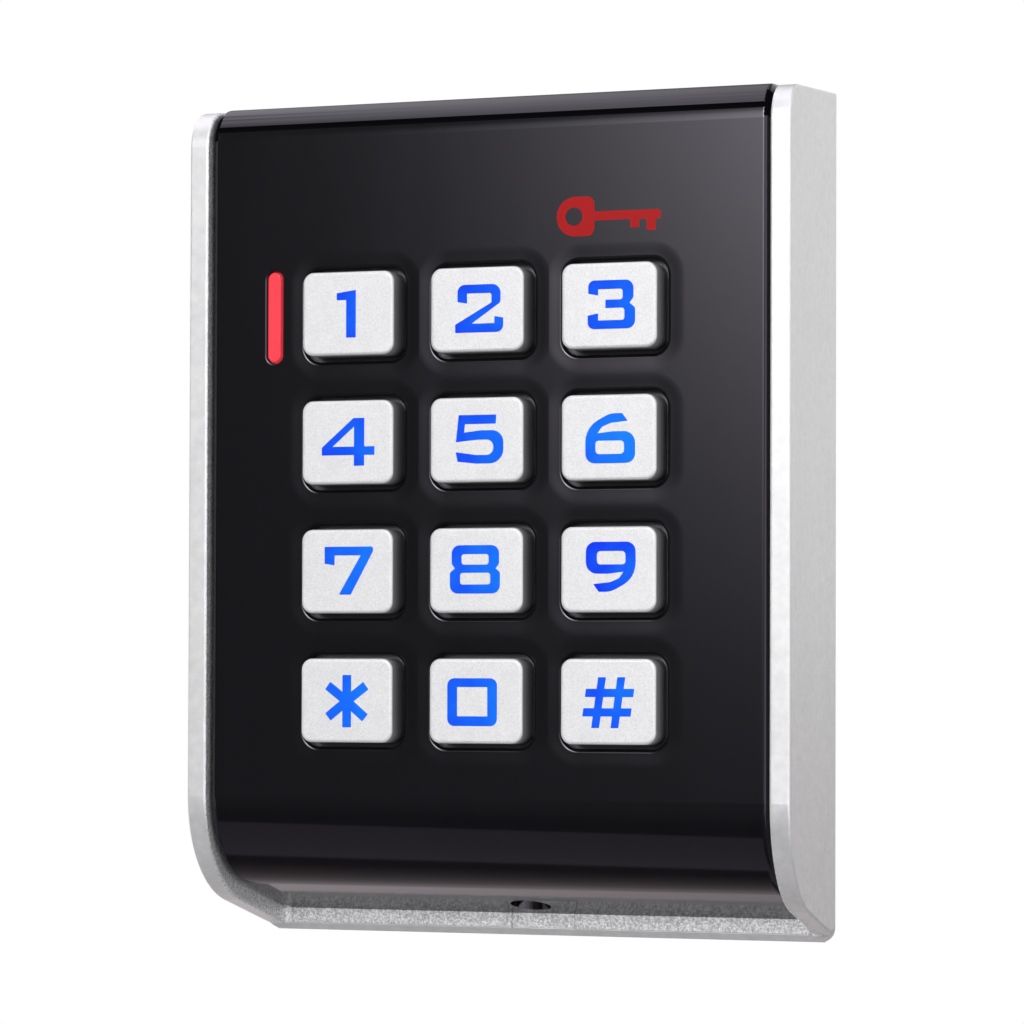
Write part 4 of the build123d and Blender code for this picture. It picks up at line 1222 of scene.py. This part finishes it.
FIGURES: dict[str, tuple[list[Corner], list[list[Corner]]]] = {
    "1": ([
        (-1.58, 2.70, 0.05), (1.15, 3.08, 0.05), (1.15, -3.21, 0.05), (-0.23, -3.21, 0.05),
        (-0.23, 1.78, 0.05), (-1.58, 1.78, 0.05),
    ], []),
    "2": ([
        (-2.69, 1.02, 0.05), (-2.69, 3.25, 1.0), (3.31, 3.25, 1.15), (3.31, 0.85, 0.6),
        (-0.72, -1.86, 0.05), (2.46, -1.86, 0.05), (2.46, -0.94, 0.05), (3.69, -1.17, 0.05),
        (3.69, -3.03, 1.1), (-3.0, -3.03, 0.1), (-3.0, -1.95, 0.2), (2.05, 0.85, 0.3),
        (2.05, 2.10, 0.3), (-1.35, 2.10, 0.1), (-1.35, 0.78, 0.05),
    ], []),
    "3": ([
        (-2.81, 1.56, 0.05), (-2.81, 3.25, 1.0), (3.35, 3.25, 1.1), (3.35, 0.95, 0.6),
        (2.80, 0.25, 0.05), (3.58, -0.35, 0.7), (3.58, -3.06, 1.1), (-2.88, -3.06, 1.0),
        (-2.88, -1.28, 0.05), (-1.46, -1.02, 0.05), (-1.46, -1.94, 0.1), (2.12, -1.94, 0.35),
        (2.12, -0.36, 0.35), (-0.46, -0.36, 0.05), (-0.46, 0.72, 0.05), (1.88, 0.72, 0.35),
        (1.88, 2.10, 0.35), (-1.46, 2.10, 0.1), (-1.46, 1.29, 0.05),
    ], []),
    "4": ([
        (-3.62, -1.71, 0.05), (-3.62, -0.67, 0.2), (0.88, 3.18, 0.3), (2.42, 3.18, 0.05),
        (2.42, -0.59, 0.0), (3.88, -0.59, 0.05), (3.88, -1.71, 0.05), (2.42, -1.71, 0.0),
        (2.42, -3.13, 0.05), (0.96, -3.13, 0.05), (0.96, -1.71, 0.0),
    ], [[(-2.12, -0.59, 0.0), (0.96, 2.05, 0.0), (0.96, -0.59, 0.0)]]),
    "5": ([
        (-2.46, 3.25, 0.05), (2.77, 3.25, 0.05), (2.70, 2.06, 0.05), (-1.58, 2.06, 0.05),
        (-1.72, 0.95, 0.0), (0.6, 1.22, 3.0), (3.77, 1.22, 1.9), (3.77, -3.12, 2.1),
        (0.0, -3.12, 3.0), (-2.60, -2.84, 0.05), (-2.88, -1.59, 0.05), (0.0, -2.0, 3.0),
        (2.38, -2.0, 0.95), (2.38, 0.0, 0.95), (0.2, 0.0, 3.0), (-2.85, -0.28, 0.05),
    ], []),
    "7": ([
        (-3.15, 1.02, 0.05), (-3.15, 3.25, 0.05), (3.73, 3.25, 0.3), (3.73, 2.62, 0.3),
        (0.58, -3.09, 0.1), (-1.12, -3.09, 0.1), (2.0, 2.10, 0.05), (-1.73, 2.10, 0.05),
        (-1.73, 0.79, 0.05),
    ], []),
    "8": ([
        (-3.38, 3.29, 1.1), (3.23, 3.29, 1.1), (3.23, 0.85, 0.6), (2.75, 0.25, 0.05),
        (3.35, -0.25, 0.6), (3.35, -3.03, 1.1), (-3.62, -3.03, 1.1), (-3.62, -0.25, 0.6),
        (-2.9, 0.25, 0.05), (-3.38, 0.85, 0.6),
    ], [
        [(-2.0, 2.12, 0.35), (1.77, 2.12, 0.35), (1.77, 0.75, 0.35), (-2.0, 0.75, 0.35)],
        [(-2.2, -0.32, 0.35), (2.0, -0.32, 0.35), (2.0, -1.84, 0.35), (-2.2, -1.84, 0.35)],
    ]),
    "0": ([
        (-3.92, 2.98, 0.95), (3.0, 2.98, 0.95), (3.0, -3.25, 0.95), (-3.92, -3.25, 0.95),
    ], [[(-2.56, 1.83, 0.08), (1.65, 1.83, 0.08), (1.65, -1.98, 0.08), (-2.56, -1.98, 0.08)]]),
}


# ---- Sub-assemblies ----


@dataclass
class Keypad:
    """Twelve keys with their legends, plungers and pills, and the mat behind them.

    Attributes:
        names: the keys in rows from the upper left.
        levels: how bright the light is behind each legend.
    """

    names: list[str] = field(default_factory=lambda: [*"123456789", "star", "0", "hash"])
    levels: dict[str, float] = field(default_factory=lambda: {
        "1": 0.30, "2": 0.28, "3": 0.34, "4": 0.28, "5": 0.32, "6": 0.72,
        "7": 0.52, "8": 0.52, "9": 0.20, "star": 0.55, "0": 0.50, "hash": 0.42,
    })

    def centre(self, key: str) -> Point:
        """The middle of a key across and up."""
        return Workshop.middle_and_size(f"key_{key}")[0]

    def face(self) -> float:
        """Depth of the keys' faces."""
        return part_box(f"key_{self.names[0]}")[0].y

    def pitch(self) -> Point:
        """Works out how the keys are spaced.

        Returns:
            Their spacing across and up.
        """
        left, top = self.centre("1")
        right, lower = self.centre("5")
        return right - left, top - lower

    def build(self) -> None:
        """Dresses the keys and adds their legends."""
        paint = KeyPaint("key_paint", self.face()).build()
        silicone = Moulding(
            "milky_silicone", (0.74, 0.74, 0.71), 0.5, 0.3 * MM, 0.006 * MM, see_through=0.3
        ).build()
        carbon = Moulding("carbon_pill", (0.018, 0.018, 0.019), 0.75, 0.1 * MM).build()
        for key in self.names:
            Workshop.dress(paint, f"key_{key}")
            Workshop.dress(silicone, f"key_{key}_plunger")
            Workshop.dress(carbon, f"key_{key}_pill")
            outer, holes = Legends.of(key)
            centre = self.centre(key)
            mark = FlatMark(f"legend_{key}", outer, holes, centre, self.face()).build()
            glow = LitLegend(f"lit_legend_{key}", centre, self.levels[key])
            Workshop.coat(mark, glow.build())
            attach(mark, f"key_{key}")
            LOG.info("built %s", mark.name)
        Workshop.dress(silicone, "keypad_mat")


@dataclass
class FrontPanel:
    """The gloss panel with its printed mark.

    Attributes:
        window_gap: the gap between a key and its window.
        key_size: a key's width and height.
        window_corner: corner radius of a window.
        top_radius: radius of the round top edge.
        top_drop: how far below the top the middle of that edge lies.
        mark_right: how far to the right the printed mark lies.
        mark_drop: how far below the top it lies.
        mark_size: its size, as a multiple of the outline below.
        mark_proud, mark_sunk: how far it stands out of the face and reaches into it.
        ink: the colour of its ink.
    """

    window_gap: float = 0.6 * MM
    key_size: Point = (13.0 * MM, 11.1 * MM)
    window_corner: float = 2.1 * MM
    top_radius: float = 5.0 * MM
    top_drop: float = 6.64 * MM
    mark_right: float = 17.4 * MM
    mark_drop: float = 18.5 * MM
    mark_size: float = 1.4
    mark_proud: float = 0.015 * MM
    mark_sunk: float = 0.1 * MM
    ink: Colour = (0.52, 0.004, 0.006)

    def face(self) -> float:
        """Depth of the panel's face."""
        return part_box("front_panel")[0].y

    def build(self, keypad: Keypad) -> None:
        """Dresses the panel and prints its mark.

        Args:
            keypad: the keys, whose places the panel's windows follow.
        """
        window = tuple(side + 2 * self.window_gap for side in self.key_size)
        top_row = keypad.centre("1")[1]
        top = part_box("front_panel")[1].z
        groove = (self.face() + self.top_radius, top - self.top_drop)
        panel = GlossPanel(
            "gloss_panel", keypad.pitch(), top_row, window, self.window_corner, groove
        )
        Workshop.dress(panel.build(), "front_panel")
        mark = self._key_sign((self.mark_right, top - self.mark_drop))
        Workshop.coat(mark, PrintedInk("red_ink", self.ink).build())
        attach(mark, READER)
        LOG.info("built %s", mark.name)

    def _key_sign(self, centre: Point) -> bpy.types.Object:
        """A plain sign of a door key, lying on its side.

        Args:
            centre: where it lies across and up.

        Returns:
            The finished piece.
        """
        bow = [
            (-5.2, 1.85, 1.8), (-1.5, 1.85, 1.8), (-1.5, 0.42, 0.1), (5.0, 0.42, 0.3),
            (5.0, -0.42, 0.0), (4.5, -0.42, 0.0), (4.5, -1.5, 0.1), (3.6, -1.5, 0.1),
            (3.6, -0.42, 0.0), (2.9, -0.42, 0.0), (2.9, -1.2, 0.1), (2.0, -1.2, 0.1),
            (2.0, -0.42, 0.0), (-1.5, -0.42, 0.1), (-1.5, -1.85, 1.8), (-5.2, -1.85, 1.8),
        ]
        eye = [
            (-4.35, 0.85, 0.84), (-2.65, 0.85, 0.84), (-2.65, -0.85, 0.84), (-4.35, -0.85, 0.84),
        ]
        outer, hole = (
            Outline(tuple(value * self.mark_size for value in corner) for corner in ring)
            for ring in (bow, eye)
        )
        film = (self.mark_proud, self.mark_sunk)
        sign = FlatMark("printed_key_sign", [outer], [hole], centre, self.face(), *film)
        return sign.build()


@dataclass
class StatusLight:
    """The red light bar and the LEDs behind it.

    Attributes:
        flange: width of the bar's hidden flange.
    """

    flange: float = 0.7 * MM

    def build(self) -> None:
        """Dresses the bar and the LEDs."""
        centre, size = Workshop.middle_and_size("light_bar")
        seen = (size[0] - 2 * self.flange, size[1] - 2 * self.flange)
        Workshop.dress(LitBar("lit_bar", centre, seen).build(), "light_bar")
        package = Moulding(
            "led_package", (0.80, 0.78, 0.55), 0.25, 0.2 * MM, 0.004 * MM, see_through=0.2
        )
        Workshop.dress(package.build(), "status_leds", "backlight_leds")


@dataclass
class Housing:
    """The silver frame and back plate, and the black rear cover.

    Attributes:
        cheek: width of a cheek's front.
        side_lean: how far the outer sides draw in towards the wall.
        rim_rise: height of the bevel under the lower rim.
    """

    cheek: float = 2.6 * MM
    side_lean: float = 1.05 * MM
    rim_rise: float = 1.0 * MM

    def build(self) -> None:
        """Dresses the shells."""
        low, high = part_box("housing_frame")
        lean = self.side_lean / (high.y - low.y)
        edges = (high.x - self.cheek, high.x, low.y, lean, low.z + self.rim_rise)
        Workshop.dress(SilverPaint("silver_frame", *edges).build(), "housing_frame")
        Workshop.dress(SilverPaint("silver_plate", *edges).build(), "back_plate")
        Workshop.dress(Moulding("black_cover", (0.02, 0.02, 0.021), 0.55).build(), "rear_cover")


@dataclass
class Electronics:
    """The circuit board, what it carries and the antenna coil.

    Attributes:
        lead: length of a chip's leads.
        mouldings: the parts with plain cases, and their finishes.
    """

    lead: float = 1.0 * MM
    mouldings: dict[str, Moulding] = field(default_factory=lambda: {
        "power_capacitor": Moulding(
            "capacitor_sleeve", (0.012, 0.016, 0.06), 0.25, 0.3 * MM, 0.004 * MM
        ),
        "buzzer": Moulding("buzzer_case", (0.016, 0.016, 0.017), 0.35, 0.3 * MM, 0.008 * MM),
        "wire_header": Moulding("natural_nylon", (0.72, 0.70, 0.62), 0.4, 0.3 * MM, 0.006 * MM),
        "tamper_switch": Moulding("switch_case", (0.02, 0.02, 0.021), 0.4, 0.25 * MM, 0.008 * MM),
        "tamper_plunger": Moulding("white_acetal", (0.70, 0.70, 0.68), 0.35, 0.3 * MM, 0.005 * MM),
    })

    def packages(self) -> dict[str, LeadedPackage]:
        """The finishes of the parts with leads.

        Returns:
            The finish of each node, by its name.
        """
        quarter = Workshop.middle_and_size("voltage_regulator")[1][1] / 4
        found = {}
        for node, name, sides, ends in (
            ("controller_chip", "controller_chip_package", self.lead, self.lead),
            ("reader_chip", "reader_chip_package", 0.0, self.lead),
            ("voltage_regulator", "regulator_package", 0.0, quarter),
        ):
            centre, (width, height) = Workshop.middle_and_size(node)
            found[node] = LeadedPackage(name, centre, (width / 2 - sides, height / 2 - ends))
        return found

    def build(self) -> None:
        """Dresses the board and its parts."""
        finishes = {
            "circuit_board": SolderMask("solder_mask"),
            **self.packages(),
            "antenna_coil": WoundWire("enamelled_wire"),
            "crystal": PlatedSteel("crystal_can", (0.75, 0.75, 0.74), 0.22),
            **self.mouldings,
        }
        for node, finish in finishes.items():
            Workshop.dress(finish.build(), node)


@dataclass
class Fasteners:
    """The screws."""

    def build(self) -> None:
        """Dresses the screws."""
        Workshop.dress(PlatedSteel("zinc_plating").build(), "board_screws", "frame_screws")
        blackened = PlatedSteel("blackened_steel", (0.10, 0.10, 0.105), 0.4)
        Workshop.dress(blackened.build(), "closing_screw")


# ---- Studio ----


class Side(Enum):
    """Where a soft light stands, as degrees to the right of straight ahead of the reader."""

    LEFT = -75.0
    RIGHT = 78.0


@dataclass
class Camera:
    """A camera in front of the reader, a little to its right and low.

    Attributes:
        place: where it stands, in metres.
        yaw: how far it looks to the left of straight at the wall, in degrees.
        tilt: how far it looks up.
        roll: how far it leans.
        lens: focal length in millimetres.
        sensor: width of the sensor in millimetres.
        shift: how far the picture is shifted upwards, as a share of its height.
        nearest, furthest: the range in which it sees, in metres.
    """

    place: Place = (0.1827, -0.5146, -0.02266)
    yaw: float = 20.04
    tilt: float = 1.317
    roll: float = 0.185
    lens: float = 140.31
    sensor: float = 36.0
    shift: float = 0.0801
    nearest: float = 0.01
    furthest: float = 100.0

    def build(self) -> None:
        """Adds the camera and makes it the scene's."""
        data = bpy.data.cameras.new("camera")
        data.lens = self.lens
        data.sensor_width = self.sensor
        data.shift_y = self.shift
        data.clip_start = self.nearest
        data.clip_end = self.furthest
        camera = bpy.data.objects.new("camera", data)
        turned = Matrix.Rotation(math.radians(self.yaw), 4, "Z")
        tilted = Matrix.Rotation(math.radians(90.0 + self.tilt), 4, "X")
        rolled = Matrix.Rotation(math.radians(self.roll), 4, "Z")
        camera.matrix_world = Matrix.Translation(self.place) @ turned @ tilted @ rolled
        bpy.context.scene.collection.objects.link(camera)
        bpy.context.scene.camera = camera


@dataclass(frozen=True)
class SoftBox:
    """A large light with soft edges, by its direction from the reader in degrees.

    Attributes:
        level: its brightness.
        left, right: degrees to the right at which its sides are dark and at which they are full.
        foot, head: degrees up at which its lower and upper ends are dark and full.
        fall: how steeply its left side and its foot fade, as a power.
    """

    level: float
    left: Point
    right: Point
    foot: Point
    head: Point
    fall: float = 1.0

    def seen(self, right: Wire, high: Wire) -> Wire:
        """How bright it is in one direction.

        Args:
            right: degrees to the right.
            high: degrees up.

        Returns:
            Its brightness there.
        """
        wide = right.step(*self.left).power(self.fall) * right.step(*self.right)
        tall = high.step(*self.foot).power(self.fall) * high.step(*self.head)
        return wide * tall * self.level


@dataclass
class Sky:
    """The room around the reader: white behind, dim in front, with a soft box to its upper right.

    Attributes:
        behind: brightness of the white room behind the reader.
        behind_from: how far back a direction points where that room begins and where it is full.
        ahead: brightness of the dim room in front of it.
        above: brightness overhead.
        above_from: degrees up at which that begins and at which it is full.
        box: the large light ahead of the reader and higher up.
        core: the brighter middle of that light.
        tilt: degrees by which the circle below turns for a unit of a direction to the right.
        tilt_from: how far to the left a direction points where it isn't turned.
        circle: what a mirror shows on a circle from straight behind (-180 degrees) over the
            top (-90), straight ahead (0) and straight down (90) to behind again.
    """

    behind: float = 0.60
    behind_from: Point = (-0.05, 0.35)
    ahead: float = 0.14
    above: float = 1.0
    above_from: Point = (38.0, 55.0)
    box: SoftBox = SoftBox(9.5, (-26.5, -11.0), (8.0, 0.0), (-6.0, 14.0), (36.0, 24.0), 2.0)
    core: SoftBox = SoftBox(7.0, (-13.0, -5.0), (9.0, 2.0), (12.0, 20.0), (35.0, 26.0))
    tilt: float = 80.0
    tilt_from: float = 0.347
    circle: list[tuple[float, Colour]] = field(default_factory=lambda: [
        (-180.0, WHITE), (-170.0, WHITE), (-160.0, (0.08, 0.08, 0.08)),
        (-146.0, (0.40, 0.39, 0.42)), (-126.0, (1.0, 0.97, 1.05)), (-108.0, (1.55, 1.5, 1.62)),
        (-88.0, (1.9, 1.85, 2.0)), (-69.0, (1.7, 1.65, 1.78)), (-58.0, (1.0, 0.97, 1.05)),
        (-46.0, (0.8, 0.78, 0.84)), (-32.0, (0.13, 0.13, 0.13)), (0.0, (0.12, 0.12, 0.12)),
        (12.0, (0.09, 0.09, 0.09)), (24.0, (0.03, 0.03, 0.03)), (38.0, (0.02, 0.02, 0.02)),
        (39.0, (0.26, 0.24, 0.28)), (84.0, (0.31, 0.28, 0.33)), (88.0, (0.05, 0.04, 0.035)),
        (97.0, (0.05, 0.04, 0.035)), (108.0, (0.14, 0.12, 0.12)), (133.0, (0.34, 0.30, 0.31)),
        (149.0, (0.50, 0.44, 0.46)), (155.0, (0.62, 0.55, 0.58)), (172.0, WHITE),
    ])

    def build(self) -> None:
        """Gives the scene its world."""
        world = bpy.data.worlds.new("room")
        world.use_nodes = True
        bpy.context.scene.world = world
        shader = Shader(world.node_tree)
        x, y, z = shader.parts(shader.node("ShaderNodeTexCoord", {}, {}, "Generated"))
        right, high = x.angle(0.0 - y), z.arcsine()
        lights = self.box.seen(right, high) + self.core.seen(right, high)
        back = y.step(*self.behind_from)
        front = lights + high.step(*self.above_from) * self.above + self.ahead
        room = back * self.behind + (1.0 - back) * front
        round_about = (0.0 - z).angle(0.0 - y) - (x + self.tilt_from) * self.tilt
        stops = [((angle + 180.0) / 360.0, colour) for angle, colour in self.circle]
        share = (round_about + 180.0) / 360.0
        mirror = shader.node("ShaderNodeValToRGB", {"stops": stops}, {0: share})
        paths = shader.node("ShaderNodeLightPath", {}, {}).socket.node.outputs
        camera, glossy, through = (
            Wire(shader, paths[f"Is {kind} Ray"]) for kind in ("Camera", "Glossy", "Transmission")
        )
        mirrored = glossy.most(through)
        plain = camera.most(mirrored)
        colour = shader.mix(camera, shader.mix(mirrored, WHITE, mirror), WHITE)
        strength = plain + (1.0 - plain) * room
        inputs = {"Color": colour, "Strength": strength}
        circle = shader.node("ShaderNodeBackground", {}, inputs)
        inputs = {"Color": WHITE, "Strength": mirrored * lights}
        glare = shader.node("ShaderNodeBackground", {}, inputs)
        both = shader.node("ShaderNodeAddShader", {}, {0: circle, 1: glare})
        output = shader.tree.nodes.new("ShaderNodeOutputWorld")
        shader.tree.links.new(both.socket, output.inputs["Surface"])


@dataclass
class Studio:
    """The floor, the lamps, the room and the camera.

    Attributes:
        floor_drop: how far below the reader the floor lies.
        floor_radius: the floor's radius.
        floor_full: the share of that radius within which it hasn't begun to fade out.
        floor_colour, floor_rough: its colour and roughness.
        floor_sides: how many sides its circle has.
        lamp_away: distance of each lamp from the reader.
        lamp_high: height of each lamp.
        lamp_size: width and height of each lamp.
        levels: how bright each lamp is, as seen in a mirror.
    """

    floor_drop: float = 60.0 * MM
    floor_radius: float = 350.0 * MM
    floor_full: float = 0.7
    floor_colour: Colour = (0.80, 0.80, 0.80)
    floor_rough: float = 0.9
    floor_sides: int = 64
    lamp_away: float = 0.45
    lamp_high: float = 0.1
    lamp_size: float = 0.5
    levels: dict[Side, float] = field(default_factory=lambda: {Side.RIGHT: 0.65, Side.LEFT: 0.40})

    def build(self) -> None:
        """Sets up the studio."""
        bpy.context.scene.view_settings.view_transform = "Standard"
        Camera().build()
        Sky().build()
        self._floor()
        for side, level in self.levels.items():
            self._lamp(side, level)

    def _floor(self) -> None:
        """A pale round floor under the reader, whose edge fades out."""
        shape = bmesh.new()
        size = {"segments": self.floor_sides, "radius": self.floor_radius}
        bmesh.ops.create_circle(shape, cap_ends=True, **size)
        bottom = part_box("housing_frame")[0].z
        bmesh.ops.translate(shape, verts=shape.verts[:], vec=(0.0, 0.0, bottom - self.floor_drop))
        floor = Workshop.finish_mesh(shape, "floor")
        surface = Surface("pale_floor")
        surface.fix(Roughness=self.floor_rough, Base_Color=self.floor_colour)
        across, depth, _ = surface.axes()
        full = self.floor_radius * self.floor_full
        surface.feed(Alpha=across.length(depth).step(self.floor_radius, full))
        Workshop.coat(floor, surface.material)
        floor.visible_glossy = False

    def _lamp(self, side: Side, level: float) -> None:
        """Adds a soft lamp that faces the reader.

        Args:
            side: the direction in which it stands.
            level: its brightness, as seen in a mirror.
        """
        name = f"{side.name.lower()}_lamp"
        data = bpy.data.lights.new(name, "AREA")
        data.size = self.lamp_size
        data.energy = level * math.pi * self.lamp_size ** 2
        lamp = bpy.data.objects.new(name, data)
        angle = math.radians(side.value)
        away = Vector((math.sin(angle), -math.cos(angle))) * self.lamp_away
        place = Vector((*away, self.lamp_high))
        turned = (-place).to_track_quat("-Z", "Y").to_matrix().to_4x4()
        lamp.matrix_world = Matrix.Translation(place) @ turned
        lamp.visible_camera = False
        bpy.context.scene.collection.objects.link(lamp)


def main() -> None:
    """Dresses the reader and sets up the studio around it."""
    logging.basicConfig(level=logging.INFO, format="%(message)s")
    keypad = Keypad()
    Housing().build()
    FrontPanel().build(keypad)
    keypad.build()
    StatusLight().build()
    Electronics().build()
    Fasteners().build()
    Studio().build()


if __name__ == "__main__":
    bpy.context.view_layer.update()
    main()
